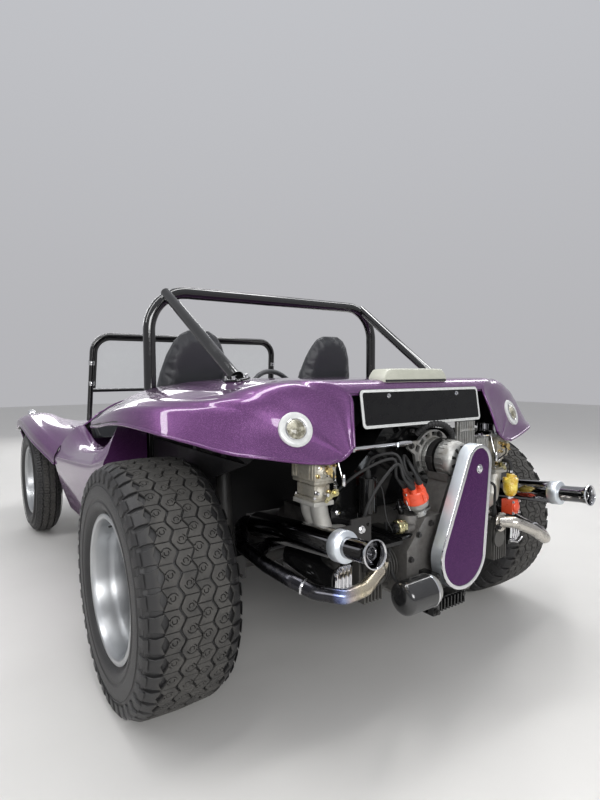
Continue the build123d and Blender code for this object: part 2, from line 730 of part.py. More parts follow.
# Steering column and box, steering wheel
def column_point(distance):
    """A point on the column's axis, measured down from the steering wheel's centre."""
    length = sqrt(sum((b - a) ** 2 for a, b in zip(column_top, column_foot)))
    return tuple(a + (b - a) * distance / length for a, b in zip(column_top, column_foot))


def make_steering_column():
    column = rod(column_point(hub_depth + seat_gap), column_foot, 11)
    column += rod(column_point(hub_depth + 16), column_point(400), column_tube)
    steering_box = box(drop_arm_x - 34, drop_arm_x + 62, wheelbase - 55, wheelbase + 55, 458, 500)
    steering_box += rod((drop_arm_x, wheelbase, 458), (drop_arm_x, wheelbase, 515), 26)
    saddle = box(drop_arm_x - 30, drop_arm_x + 30, wheelbase + 50, beam_y - 0.5 * tube_radius, 458, 474)
    saddle += box(drop_arm_x - 30, drop_arm_x + 30, beam_y - 20, beam_y + 20, beam_upper_z + 10, 462)
    clamp = rod((drop_arm_x - 40, beam_y, beam_upper_z), (drop_arm_x + 40, beam_y, beam_upper_z), tube_radius + seat_gap)
    return column + steering_box + (saddle - clamp)


wheel_rim = 172
hub_depth = 39


def make_steering_wheel():
    top = Vector(column_top[0], at_y(column_top[1]), column_top[2])
    foot = Vector(column_foot[0], at_y(column_foot[1]), column_foot[2])
    frame = Plane(origin=top, x_dir=(1, 0, 0.0), z_dir=top - foot)
    hub = frame * Pos(0, 0, 25 - hub_depth) * Cylinder(30, 50)
    rim = frame * Torus(wheel_rim, 14)
    wheel = hub + rim
    for angle in (-90, 30, 150):
        spoke = Pos((wheel_rim) / 2, 0, -6) * Box(wheel_rim - 6, 26, 4)
        wheel += frame * Rot(0, 0, angle) * spoke
    return wheel


# Gear lever, handbrake and pedals
def make_controls():
    lever = rod((0, 1008, tunnel_top + 10), (0, 940, 600), 7) + Pos(0, at_y(938), 612) * Sphere(22)
    lever += Pos(0, at_y(1010), tunnel_top + 12) * Cylinder(34, 24)
    brake = rod((0, 820, tunnel_top + 20), (0, 640, 450), 11) + box(-14, 14, 800, 850, tunnel_top, tunnel_top + 40)
    hinge_y = toe_board - 27
    pedals = box(265, 415, hinge_y - 13, hinge_y + 13, pan_z + pan_thickness, 262)
    for x in (280, 340, 400):
        pedals += rod((x, hinge_y, 256), (x, hinge_y - 43, 420), 6)
        pedals += box(x - 26, x + 26, hinge_y - 57, hinge_y - 47, 395, 450)
    return Compound(children=[lever, brake, pedals])


# Lamps and number plate
rear_lamp = (467, -391, 808)
rear_lamp_radius = 47
rear_lamp_faces = (0.22, -0.915, 0.344)


def make_rear_lamps():
    x, y, z = rear_lamp
    plane = Plane(origin=(x, at_y(y), z), z_dir=rear_lamp_faces)
    base = plane * Cylinder(rear_lamp_radius, 24) - Pos(0, -seat_gap, 0) * cowl_body(0, 0)
    lamp = base + plane * Pos(0, 0, 15) * Cylinder(26, 10)
    return lamp + mirrored(lamp)


def make_headlamps():
    x, z = headlamp
    bucket = rod((x, clip_front - 60, z), (x, clip_front + 6, z), headlamp_radius)
    ring = rod((x, clip_front + 0.3, z), (x, clip_front + 12, z), headlamp_radius + 8)
    lens = rod((x, clip_front + 10, z), (x, clip_front + 20, z), headlamp_radius - 10)
    lamp = bucket + ring + lens
    return lamp + mirrored(lamp)


def make_deck_lamp():
    y = -345
    lamp = extrude_xz([(-142, 905), (-142, 946), (-120, 972), (120, 972), (142, 946), (142, 905)], y - 36, y + 36)
    return lamp - Pos(0, 0, seat_gap) * cowl_body(0, 0)


plate_half = 260
plate_height = 111
plate_lean = 9


def make_number_plate():
    hinge = Pos(0, at_y(cowl_lip) - seat_gap, 903) * Rot(-plate_lean, 0, 0)
    return hinge * Pos(0, -1.5, 10 - plate_height / 2) * Box(2 * plate_half, 3, plate_height)


# Front axle: two tubes with towers, trailing arms and dampers
def make_front_beam():
    beam = rod((-beam_half, beam_y, beam_lower_z), (beam_half, beam_y, beam_lower_z), tube_radius)
    beam += rod((-beam_half, beam_y, beam_upper_z), (beam_half, beam_y, beam_upper_z), tube_radius)
    for side in (-1, 1):
        tower = extrude_yz(
            [(beam_y - 32, beam_lower_z - 28), (beam_y - 32, beam_upper_z + 30), (beam_y - 20, tower_top),
             (beam_y + 12, tower_top), (beam_y + 32, beam_upper_z + 30), (beam_y + 32, beam_lower_z - 28)],
            side * (beam_half - 45) - 10, side * (beam_half - 45) + 10)
        web = extrude_yz(
            [(beam_y - 12, beam_lower_z), (beam_y - 12, beam_upper_z), (beam_y + 12, beam_upper_z),
             (beam_y + 12, beam_lower_z)], side * 95 - 15, side * 95 + 15)
        beam += tower + web
    beam += box(-frame_head_half, frame_head_half, beam_y - tube_radius - 12, beam_y, 222, 278)
    return beam


carrier_half = 10
tower_top = 560


def make_trailing_arms():
    side = Part()
    for z in (beam_lower_z, beam_upper_z):
        arm = rod((beam_half, beam_y, z), (beam_half + 50, beam_y, z), 24)
        arm += rod((beam_half + 30, beam_y, z), (king_pin_x - 40, wheelbase, z), 17)
        arm += rod((king_pin_x - 62, wheelbase, z), (king_pin_x - 27, wheelbase, z), 20)
        side += arm
    carrier = box(king_pin_x - 45, king_pin_x - 24, wheelbase - carrier_half, wheelbase + carrier_half, 250, 400)
    for z in (beam_lower_z, beam_upper_z):
        carrier += box(king_pin_x - 45, king_pin_x + 16, wheelbase - carrier_half, wheelbase + carrier_half, z - 12, z + 12)
    side += carrier
    damper = rod((beam_half + 16, beam_y - 6, beam_lower_z + 20), (beam_half - 4, beam_y - 6, tower_top), 20)
    return side + mirrored(side)


# Steering knuckle: king pin, stub axle, brake back plate and steering arm
stub_x = 680
stub_radius = 16


def make_knuckle():
    pin = Pos(king_pin_x, at_y(wheelbase), 325) * Cylinder(13, 125.4)
    stub = rod((king_pin_x, wheelbase, front_tyre_radius), (stub_x, wheelbase, front_tyre_radius), stub_radius)
    boss = rod((king_pin_x, wheelbase, front_tyre_radius), (585, wheelbase, front_tyre_radius), 28)
    plate = rod((585, wheelbase, front_tyre_radius), (589, wheelbase, front_tyre_radius), 112)
    arm = extrude_xy(
        [(king_pin_x - 12, wheelbase - 6), (king_pin_x + 12, wheelbase - 6), (king_pin_x + 13, wheelbase - steer_arm - 13),
         (king_pin_x - 13, wheelbase - steer_arm - 13)], 384 - 20, 384 - 6)
    post = Pos(king_pin_x, at_y(wheelbase - steer_arm), 371 + 30) * Cylinder(7, 70)
    arm = Pos(0, 0, -6) * arm
    return pin + stub + boss + plate + arm + post


# Drop arm under the steering box, and the two tie rods
def make_drop_arm():
    arm = extrude_xy(
        [(drop_arm_x - 16, wheelbase + 16), (drop_arm_x + 16, wheelbase + 16),
         (drop_arm_x + 13, wheelbase - steer_arm - 13), (drop_arm_x - 13, wheelbase - steer_arm - 13)], 420, 432)
    shaft = rod((drop_arm_x, wheelbase, 420), (drop_arm_x, wheelbase, 458 - seat_gap), 12)
    pin = Pos(drop_arm_x, at_y(wheelbase - steer_arm), 446) * Cylinder(6, 32)
    return arm + shaft + pin


def make_tie_rod(side):
    y = wheelbase - steer_arm
    end_x = side * king_pin_x
    bar = rod((drop_arm_x + side * 14, y, tie_rod_z), (end_x - side * 14, y, tie_rod_z), 8)
    return bar + Pos(end_x, at_y(y), tie_rod_z) * (Cylinder(16, 18) - Cylinder(7.3, 18))


# Tyres: hollow carcass, shoulder to shoulder
lug_count = 30
lug_gap = 9                 # width of a slot between shoulder lugs
lug_depth = 11
rib_groove = 7
rib_depth = 8


def make_tyre(radius, width, rim_radius, crown):
    half = width / 2
    bead = half - 22
    outer = [(-bead, rim_radius + 3), (-bead, rim_radius + 16), (-half + 2, rim_radius + 34),
             (-half, rim_radius + 0.5 * (radius - rim_radius)), (-half + 8, radius - 30),
             (-half + 20, radius - crown - 4), (-half + 42, radius - crown / 3), (0, radius)]
    outer += [(-x, r) for x, r in reversed(outer[:-1])]
    inner = [(bead - 12, rim_radius + 3), (half - tyre_wall, rim_radius + 40), (half - tyre_wall, radius - 44),
             (half - 44, radius - 24), (-half + 44, radius - 24), (-half + tyre_wall, radius - 44),
             (-half + tyre_wall, rim_radius + 40), (-bead + 12, rim_radius + 3)]
    return revolve_x(outer + inner)


def make_rear_tyre():
    """Slots across both shoulders leave a ring of deep lugs."""
    tyre = make_tyre(rear_tyre_radius, rear_tyre_width, rear_rim_radius - rim_flange, 12)
    half = rear_tyre_width / 2
    slots = []
    for side in (-1, 1):
        for n in range(lug_count):
            slot = Box(44, lug_gap, 40)
            at_shoulder = Pos(side * (half - 12), 0, rear_tyre_radius - lug_depth + 6)
            slots.append(Rot((n + (0.5 if side > 0 else 0)) * 360 / lug_count, 0, 0) * at_shoulder * slot)
    return tyre - slots


def make_front_tyre():
    """Grooves round the tread leave four ribs."""
    tyre = make_tyre(front_tyre_radius, front_tyre_width, front_rim_radius - rim_flange, 10)
    for x in (-33, 0, 33):
        groove = revolve_x([(x - rib_groove / 2, front_tyre_radius - rib_depth), (x - rib_groove / 2, front_tyre_radius + 5),
                            (x + rib_groove / 2, front_tyre_radius + 5), (x + rib_groove / 2, front_tyre_radius - rib_depth)])
        tyre -= groove
    return tyre


def make_rim(tyre_width, bead_radius, dish_radius):
    """Rolled rim: flanges outside the tyre's beads, seats, and a well between them."""
    bead = tyre_width / 2 - 22
    lip = bead + 9
    seat = bead_radius + 3 - seat_gap
    step = min(30, bead * 0.4)
    half = [(lip, bead_radius - 14), (lip, bead_radius + 9), (lip - 3, bead_radius + 12),
            (bead + 0.4, bead_radius + 12), (bead + 0.4, seat), (bead - step, seat - 4),
            (bead - step - 10, dish_radius + 6)]
    inside = [(bead - step - 6, dish_radius), (lip - 12, bead_radius - 16)]
    profile = [(-x, r) for x, r in half] + [(x, r) for x, r in reversed(half)]
    profile += [(x, r) for x, r in reversed(inside)] + [(-x, r) for x, r in inside]
    return revolve_x(profile)


def place_wheel(shape, x, y, z):
    return Pos(x, at_y(y), z) * shape


rim_flange = 12
rear_disc_x = -88
rear_dish_radius = 176
front_disc_x = -6
front_dish_radius = 168


def make_disc(x, dish_radius, hole_radius, bolt_circle, holes, thickness=12):
    """Pressed wheel centre with a ring of round holes."""
    back = x - thickness
    disc = revolve_x([(back, 0), (back, 60), (back + 14, 88), (back + 14, 154), (back + 6, dish_radius + 3),
                      (x + 6, dish_radius + 3), (x + 14, 154), (x + 14, 88), (x, 60), (x, 0)])
    for n in range(holes):
        a = radians((n + 0.5) * 360 / holes)
        disc -= Pos(x, bolt_circle * cos(a), bolt_circle * sin(a)) * Rot(0, 90, 0) * Cylinder(hole_radius, 60)
    return disc


def make_rear_wheel():
    rim = make_rim(rear_tyre_width, rear_rim_radius - rim_flange, rear_dish_radius)
    disc = make_disc(rear_disc_x, rear_dish_radius, 20, 122, 8)
    cap = revolve_x([(rear_disc_x - 4, 0), (rear_disc_x - 4, 42), (-66, 40), (-56, 30), (-56, 0)])
    drum = revolve_x([(drum_inner_x - rear_wheel_x, 0), (drum_inner_x - rear_wheel_x, 118),
                      (rear_disc_x - 32, 118), (rear_disc_x - 24, 108), (rear_disc_x - 12, 58), (rear_disc_x - 12, 0)])
    inner = drum_inner_x - rear_wheel_x
    bore = Pos(inner + bearing_depth / 2, 0, 0) * Rot(0, 90, 0) * Cylinder(axle_radius + seat_gap, bearing_depth + 1)
    return rim + disc + cap + drum - bore


def make_front_wheel():
    rim = make_rim(front_tyre_width, front_rim_radius - rim_flange, front_dish_radius)
    disc = make_disc(front_disc_x, front_dish_radius, 20, 120, 8)
    hub = revolve_x([(-44, 0), (-44, 40), (-26, 60), (-8, 60), (-4, 34), (30, 32), (36, 22), (36, 0)])
    drum = revolve_x([(-94, 100), (-94, 116), (-34, 116), (-24, 108), (-18, 56), (-30, 56), (-40, 100)])
    wheel = rim + disc + hub + drum
    return wheel - Pos(stub_x - front_wheel_x - 40, 0, 0) * Rot(0, 90, 0) * Cylinder(stub_radius + 1, 80 + 8)


def add(name, shape):
    parts[name] = shape


add("chassis", make_chassis())
add("gearbox", make_gearbox())
add("rear_suspension", make_rear_suspension())
add("engine_case", make_engine_case())
add("oil_sender", make_oil_sender())
add("cylinders", make_cylinders())
add("rocker_covers", make_rocker_covers())
add("fan_shroud", make_fan_shroud())
add("alternator", make_alternator())
add("belt_guard", make_belt_guard())
add("belt_guard_face", make_guard_face())
add("oil_filler", make_oil_filler())
add("distributor", make_distributor())
add("distributor_cap", make_distributor_cap())
add("ignition_leads", make_ignition_leads())
add("oil_filter", make_oil_filter())
add("intake_manifolds", make_manifolds())
add("carburettors", make_carburettors())
add("fuel_filter", make_fuel_filter())
add("fuel_regulator", make_fuel_regulator())
add("throttle_linkage", make_throttle_linkage())
add("exhaust_right", make_exhaust())
add("exhaust_left", mirrored(make_exhaust()))
add("rear_cowl", make_rear_cowl())
add("rear_tub", make_rear_tub())
add("side_body_right", make_side_body())
add("side_body_left", mirrored(make_side_body()))
add("front_clip", make_front_clip())
add("footwell", make_footwell())
add("dashboard", make_dashboard())
add("windscreen_frame", make_screen_frame())
add("windscreen_glass", make_screen_glass())
add("roll_bar", make_roll_bar())
add("seat_right", make_seat())
add("seat_left", mirrored(make_seat()))
add("steering_column", make_steering_column())
add("steering_wheel", make_steering_wheel())
add("controls", make_controls())
add("rear_lamps", make_rear_lamps())
add("headlamps", make_headlamps())
add("deck_lamp", make_deck_lamp())
add("number_plate", make_number_plate())
add("front_beam", make_front_beam())
add("trailing_arms", make_trailing_arms())
add("knuckle_right", make_knuckle())
add("knuckle_left", mirrored(make_knuckle()))
add("drop_arm", make_drop_arm())
add("tie_rod_right", make_tie_rod(1))
add("tie_rod_left", make_tie_rod(-1))

wheels = [
    ("rear", make_rear_tyre(), make_rear_wheel(), rear_wheel_x, 0, rear_tyre_radius),
    ("front", make_front_tyre(), make_front_wheel(), front_wheel_x, wheelbase, front_tyre_radius),
]
for end, tyre, rim, x, y, z in wheels:
    for name, shape in (("tyre", tyre), ("wheel", rim)):
        right = place_wheel(shape, x, y, z)
        add(f"{end}_{name}_right", right)
        add(f"{end}_{name}_left", mirrored(right))

os.makedirs("parts", exist_ok=True)
for name, shape in parts.items():
    export_step(shape, f"parts/{name}.step")
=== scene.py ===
from math import acos, atan2, ceil, cos, hypot, pi, radians, sin, sqrt, tan

import bmesh
import bpy
from mathutils import Matrix, Vector


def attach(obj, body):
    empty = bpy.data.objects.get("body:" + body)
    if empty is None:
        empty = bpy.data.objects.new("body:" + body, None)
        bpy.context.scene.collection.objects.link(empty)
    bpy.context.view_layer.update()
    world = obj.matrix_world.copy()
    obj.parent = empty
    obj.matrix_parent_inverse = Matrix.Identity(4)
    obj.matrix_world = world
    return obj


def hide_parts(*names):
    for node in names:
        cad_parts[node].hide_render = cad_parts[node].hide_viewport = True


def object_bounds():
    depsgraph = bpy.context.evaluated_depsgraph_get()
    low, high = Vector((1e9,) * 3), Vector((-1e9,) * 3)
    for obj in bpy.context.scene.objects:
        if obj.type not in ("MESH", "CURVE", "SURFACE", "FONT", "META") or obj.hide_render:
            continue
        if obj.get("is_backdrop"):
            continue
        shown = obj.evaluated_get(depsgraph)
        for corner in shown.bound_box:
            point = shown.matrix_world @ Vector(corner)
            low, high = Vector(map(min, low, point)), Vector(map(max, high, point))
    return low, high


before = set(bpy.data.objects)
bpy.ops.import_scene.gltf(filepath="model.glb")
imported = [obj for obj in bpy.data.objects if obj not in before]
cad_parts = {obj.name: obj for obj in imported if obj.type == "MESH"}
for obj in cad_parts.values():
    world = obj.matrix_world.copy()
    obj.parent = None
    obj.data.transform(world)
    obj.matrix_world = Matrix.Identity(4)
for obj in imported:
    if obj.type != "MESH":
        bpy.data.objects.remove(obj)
cad_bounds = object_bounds()


# Rear cowl: one glass-fibre moulding over the engine and both back wheels, in gloss metalflake,
# black underneath, with a rolled edge all round and a panel for each lamp. It rests on the rear
# tub and carries the stays of the roll bar. Millimetres, with y from the rear axle.
rear_axle = -910


class Out:
    """A node's output that works in sums; node() adds any other node to the same tree."""

    def __init__(self, tree, socket=None):
        self.tree = tree
        self.socket = socket

    def node(self, kind, settings=None, inputs=None, out=0):
        made = self.tree.nodes.new(kind)
        for key, value in (settings or {}).items():
            if key == "stops":
                ramp = made.color_ramp
                while len(ramp.elements) < len(value):
                    ramp.elements.new(0.5)
                for element, (place, colour) in zip(ramp.elements, value):
                    element.position = place
                    element.color = (*colour, 1.0)
            else:
                setattr(made, key, value)
        for key, value in (inputs or {}).items():
            if isinstance(value, Out):
                self.tree.links.new(value.socket, made.inputs[key])
            else:
                made.inputs[key].default_value = value
        return Out(self.tree, made.outputs[out])

    def maths(self, operation, *terms):
        return self.node("ShaderNodeMath", {"operation": operation}, dict(enumerate(terms)))

    def __add__(self, other):
        return self.maths("ADD", self, other)

    def __sub__(self, other):
        return self.maths("SUBTRACT", self, other)

    def __rsub__(self, other):
        return self.maths("SUBTRACT", other, self)

    def __mul__(self, other):
        return self.maths("MULTIPLY", self, other)

    def __truediv__(self, other):
        return self.maths("DIVIDE", self, other)

    def __pow__(self, other):
        return self.maths("POWER", self, other)

    __radd__ = __add__
    __rmul__ = __mul__


def noise(point, scale, detail=2.0):
    return point.node("ShaderNodeTexNoise", {}, {"Vector": point, "Scale": scale, "Detail": detail}, "Fac")


def cells(point, scale, out="Distance"):
    return point.node("ShaderNodeTexVoronoi", {}, {"Vector": point, "Scale": scale}, out)


def axes(vector):
    return [vector.node("ShaderNodeSeparateXYZ", {}, {"Vector": vector}, n) for n in range(3)]


def ramp(value, low, high, start=0.0, end=1.0):
    """The value taken from low to high onto start to end, and held there."""
    return value.node("ShaderNodeMapRange", {"interpolation_type": "SMOOTHSTEP"},
                      {"Value": value, 1: low, 2: high, 3: start, 4: end})


def mix(factor, first, second):
    colours = [c if isinstance(c, Out) else (*c, 1.0) for c in (first, second)]
    return factor.node("ShaderNodeMix", {"data_type": "RGBA"}, {0: factor, 6: colours[0], 7: colours[1]}, 2)


def bump(height, distance):
    return height.node("ShaderNodeBump", {}, {"Height": height, "Distance": distance}, "Normal")


def material(name, fixed, varied):
    """A Principled material: numbers set on its sockets, and varied(point) for what changes over it."""
    made = bpy.data.materials.new(name)
    made.use_nodes = True
    tree = made.node_tree
    tree.nodes.clear()
    shader = tree.nodes.new("ShaderNodeBsdfPrincipled")
    output = tree.nodes.new("ShaderNodeOutputMaterial")
    tree.links.new(shader.outputs[0], output.inputs["Surface"])
    for key, value in fixed.items():
        shader.inputs[key].default_value = value
    point = Out(tree, tree.nodes.new("ShaderNodeTexCoord").outputs["Object"])
    for key, value in varied(point).items():
        tree.links.new(value.socket, shader.inputs[key])
    return made


def metalflake(dark, light, spark, share, sparks, rough, metal, tilt=0.0):
    """Lacquer over flakes that each have their own brightness, gloss and, by the tilt, direction."""
    def varied(point):
        flake = cells(point, 1500.0, "Color")
        red, green, blue = axes(flake)
        base = mix(noise(point, 3.0, 3.0), dark, light)
        parts = {"Base Color": mix(ramp(red, *sparks) * share, base, spark),
                 "Roughness": ramp(green, 0.0, 1.0, *rough), "Metallic": ramp(blue, 0.0, 1.0, *metal)}
        if tilt:
            facing = flake.node("ShaderNodeVectorMath", {"operation": "SUBTRACT"},
                                {0: flake, 1: (0.5, 0.5, 0.5)})
            facing = flake.node("ShaderNodeVectorMath", {"operation": "SCALE"}, {0: facing, "Scale": tilt})
            flat = point.node("ShaderNodeNewGeometry", {}, {}, "Normal")
            facing = flake.node("ShaderNodeVectorMath", {"operation": "ADD"}, {0: flat, 1: facing})
            parts["Normal"] = flake.node("ShaderNodeVectorMath", {"operation": "NORMALIZE"}, {0: facing})
        return parts
    return varied


def mottled(scale, detail, dark, light, rough, grain=None, metal=None):
    """A finish that wanders between two colours; rough and metal are ramps of the same noise, and
    grain is the scale, detail and height of its relief."""
    def varied(point):
        haze = noise(point, scale, detail)
        parts = {"Base Color": mix(haze, dark, light), "Roughness": ramp(haze, *rough)}
        if grain:
            parts["Normal"] = bump(noise(point, *grain[:2]), grain[2])
        if metal:
            parts["Metallic"] = ramp(haze, *metal)
        return parts
    return varied


purple = material("purple_metalflake", {"Coat Weight": 1.0, "Coat Roughness": 0.035}, metalflake(
    (0.066, 0.012, 0.083), (0.102, 0.022, 0.123), (0.40, 0.15, 0.42), 0.55, (0.70, 0.96), (0.30, 0.44),
    (0.35, 0.75), 0.16))
black_moulding = material("black_moulding", {"Specular IOR Level": 0.25}, mottled(
    9.0, 5.0, (0.009, 0.009, 0.011), (0.022, 0.021, 0.021), (0.3, 0.7, 0.36, 0.58), (420.0, 3.0, 0.0004)))


class Piece:
    """One piece while it is made: its mesh and its materials."""

    def __init__(self, name):
        self.name = name
        self.mesh = bmesh.new()
        self.materials = []

    def index(self, finish):
        if finish not in self.materials:
            self.materials.append(finish)
        return self.materials.index(finish)


def axis_at(origin, direction=(0, 0, 1), across=None):
    """The placing whose Z points along a direction."""
    z = Vector(direction).normalized()
    x = Vector(across) if across else (Vector((1, 0, 0)) if abs(z.x) < 0.9 else Vector((0, 1, 0)))
    y = z.cross(x).normalized()
    x = y.cross(z)
    turn = Matrix((x, y, z)).transposed().to_4x4()
    return Matrix.Translation(Vector(origin)) @ turn


def grid(piece, rows, finish, at=Matrix(), wrap=False, caps=False, skip=None, outward=None):
    """Faces between rows of points; wrap joins each row's ends, caps closes the first and last row."""
    made = [[piece.mesh.verts.new(at @ Vector(point)) for point in row] for row in rows]
    count = len(rows[0])
    faces = []
    for r in range(len(made) - 1):
        for c in range(count if wrap else count - 1):
            if skip and skip(r, c):
                continue
            d = (c + 1) % count
            faces.append(piece.mesh.faces.new((made[r][c], made[r][d], made[r + 1][d], made[r + 1][c])))
    if caps:
        faces.append(piece.mesh.faces.new(made[0]))
        faces.append(piece.mesh.faces.new(made[-1]))
    for face in faces:
        face.material_index = piece.index(finish)
    if outward:
        piece.mesh.normal_update()
        if sum((f.normal.dot(Vector(outward)) * f.calc_area() for f in faces)) < 0:
            bmesh.ops.reverse_faces(piece.mesh, faces=faces)
    return faces


def ring_of(radius, centre=(0, 0), count=24):
    return [(centre[0] + radius * cos(2 * pi * n / count), centre[1] + radius * sin(2 * pi * n / count))
            for n in range(count)]


def lathe(piece, profile, finish, at=Matrix(), segments=40):
    """A profile of (radius, distance along Z) points turned about Z."""
    rows = [[(x, y, z) for x, y in ring_of(radius, count=segments)] for radius, z in profile]
    return grid(piece, rows, finish, at, wrap=True)


def bent_path(points, bend, step=radians(9)):
    """Straight runs joined by arcs of the bend radii, as a list of points."""
    points = [Vector(p) for p in points]
    bends = bend if isinstance(bend, (list, tuple)) else [bend] * (len(points) - 2)
    path = [points[0]]
    for before, corner, after, radius in zip(points, points[1:], points[2:], bends):
        a = (before - corner).normalized()
        b = (after - corner).normalized()
        half = acos(max(-1.0, min(1.0, a.dot(b)))) / 2
        if half > radians(89) or radius == 0:
            path.append(corner)
            continue
        cut = min(radius / tan(half), 0.49 * (before - corner).length, 0.49 * (after - corner).length)
        centre = corner + (a + b).normalized() * cut / cos(half)
        start = corner + a * cut - centre
        end = corner + b * cut - centre
        steps = max(2, ceil((pi - 2 * half) / step))
        for n in range(steps + 1):
            path.append(centre + start.slerp(end, n / steps) * start.length)
    path.append(points[-1])
    return path


def tube(piece, path, radius, finish, sides=20, closed=False):
    """A round bar along a list of points; radius is one number or one for each point."""
    path = [Vector(p) for p in path]
    radii = radius if isinstance(radius, (list, tuple)) else [radius] * len(path)
    count = len(path)
    ways = []
    for n in range(count):
        before = path[n - 1] if n or closed else path[n]
        after = path[(n + 1) % count] if n < count - 1 or closed else path[n]
        ways.append((after - before).normalized())
    side = ways[0].orthogonal().normalized()
    rows = []
    for point, way, r in zip(path, ways, radii):
        side = (side - way * side.dot(way)).normalized()
        other = way.cross(side)
        rows.append([point + r * (side * cos(a) + other * sin(a))
                     for a in (2 * pi * k / sides for k in range(sides))])
    if closed:
        rows.append(rows[0])
    return grid(piece, rows, finish, wrap=True, caps=not closed)


def spline(rows, steps):
    """Smooth rows of numbers through the given rows."""
    rows = [[float(v) for v in row] for row in rows]
    gaps = [sqrt(sqrt(sum((b - a) ** 2 for a, b in zip(p, q)))) for p, q in zip(rows, rows[1:])]
    slopes = [[(b - a) / g for a, b in zip(p, q)] for p, q, g in zip(rows, rows[1:], gaps)]
    ways = [slopes[0]]
    for n in range(1, len(rows) - 1):
        g, h = gaps[n - 1], gaps[n]
        ways.append([(a * h + b * g) / (g + h) for a, b in zip(slopes[n - 1], slopes[n])])
    ways.append(slopes[-1])
    made = []
    for n, gap in enumerate(gaps):
        for k in range(steps):
            t = k / steps
            h1 = 2 * t ** 3 - 3 * t ** 2 + 1
            h2 = t ** 3 - 2 * t ** 2 + t
            made.append([h1 * a + h2 * gap * m + (1 - h1) * b + (t ** 3 - t ** 2) * gap * w for a, b, m, w in
                         zip(rows[n], rows[n + 1], ways[n], ways[n + 1])])
    return made + [rows[-1]]


def folded(corners, rounds, crowns, run=5, arc=5):
    """A section through flat corners: each fold rounded, each run between folds slightly crowned."""
    points = [Vector(c) for c in corners]
    cuts = [0.0] + [min(r, 0.45 * (b - a).length, 0.45 * (c - b).length)
                    for a, b, c, r in zip(points, points[1:], points[2:], rounds)] + [0.0]
    made = []
    for n in range(len(points) - 1):
        way = points[n + 1] - points[n]
        length = max(way.length, 1e-6)
        start = points[n] + way * cuts[n] / length
        end = points[n + 1] - way * cuts[n + 1] / length
        normal = Vector((-way.y, way.x)) / length
        for k in range(run + 1):
            t = k / run
            made.append(start.lerp(end, t) + normal * crowns[n] * 4 * t * (1 - t))
        if n < len(points) - 2:
            corner = points[n + 1]
            following = points[n + 2] - corner
            leaving = corner + following * cuts[n + 1] / max(following.length, 1e-6)
            for k in range(1, arc):
                t = k / arc
                made.append(end * (1 - t) ** 2 + corner * 2 * t * (1 - t) + leaving * t ** 2)
    return made


def both_sides(half, y):
    """A row right across the car from the section of its right half."""
    return [(-x, y, z) for x, z in reversed(half[1:])] + [(x, y, z) for x, z in half]


def put(name, data):
    """A new object in the scene."""
    made = bpy.data.objects.new(name, data)
    bpy.context.scene.collection.objects.link(made)
    return made


def modified(piece, kind, settings):
    """Applies a modifier to a piece's mesh while it is made."""
    data = bpy.data.meshes.new("work")
    piece.mesh.to_mesh(data)
    work = put("work", data)
    for finish in piece.materials:
        data.materials.append(finish)
    modifier = work.modifiers.new("work", kind)
    for key, value in settings.items():
        setattr(modifier, key, value)
    shape = bpy.data.meshes.new_from_object(work.evaluated_get(bpy.context.evaluated_depsgraph_get()))
    piece.mesh.clear()
    piece.mesh.from_mesh(shape)
    bpy.data.objects.remove(work)
    bpy.data.meshes.remove(data)
    bpy.data.meshes.remove(shape)


def done(piece, body, nodes=(), sharp=38):
    """Turns a piece into an object in metres that rides on a body and replaces CAD nodes."""
    bmesh.ops.remove_doubles(piece.mesh, verts=piece.mesh.verts, dist=0.01)
    bmesh.ops.dissolve_degenerate(piece.mesh, edges=piece.mesh.edges, dist=0.005)
    bmesh.ops.recalc_face_normals(piece.mesh, faces=piece.mesh.faces)
    piece.mesh.transform(Matrix.Scale(0.001, 4) @ Matrix.Translation((0, rear_axle, 0)))
    data = bpy.data.meshes.new(piece.name)
    piece.mesh.to_mesh(data)
    piece.mesh.free()
    for finish in piece.materials:
        data.materials.append(finish)
    data.polygons.foreach_set("use_smooth", [True] * len(data.polygons))
    data.set_sharp_from_angle(angle=radians(sharp))
    made = put(piece.name, data)
    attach(made, body)
    if nodes:
        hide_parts(*nodes)
    return made


# Each row: y, half width and height of the deck, then x and z of the crest, of the crease and of the
# lower edge, and the radius of the fold beside the deck.
cowl_stations = [
    (400, 400, 926, 600, 900, 778, 792, 776, 778, 80),
    (220, 410, 938, 600, 912, 795, 822, 796, 796, 80),
    (0, 420, 942, 640, 914, 796, 862, 802, 822, 80),
    (-150, 420, 942, 640, 900, 752, 872, 772, 814, 76),
    (-235, 410, 942, 590, 906, 690, 870, 735, 800, 60),
    (-290, 400, 942, 540, 930, 640, 866, 692, 786, 34),
    (-340, 384, 941, 492, 930, 590, 852, 655, 772, 22),
    (-376, 354, 935, 442, 906, 536, 816, 618, 763, 14),
    (-405, 298, 905, 385, 850, 472, 788, 572, 757, 6),
    (-430, 310, 838, 356, 794, 408, 758, 462, 736, 6),
    (-450, 321, 766, 335, 748, 355, 737, 392, 731, 6),
]
cowl_steps = 9
cowl_lip_row = 8 * cowl_steps
cowl_inside_y, cowl_inside_z = -100, 500
skin = 6
upward = (0, 0, 1)

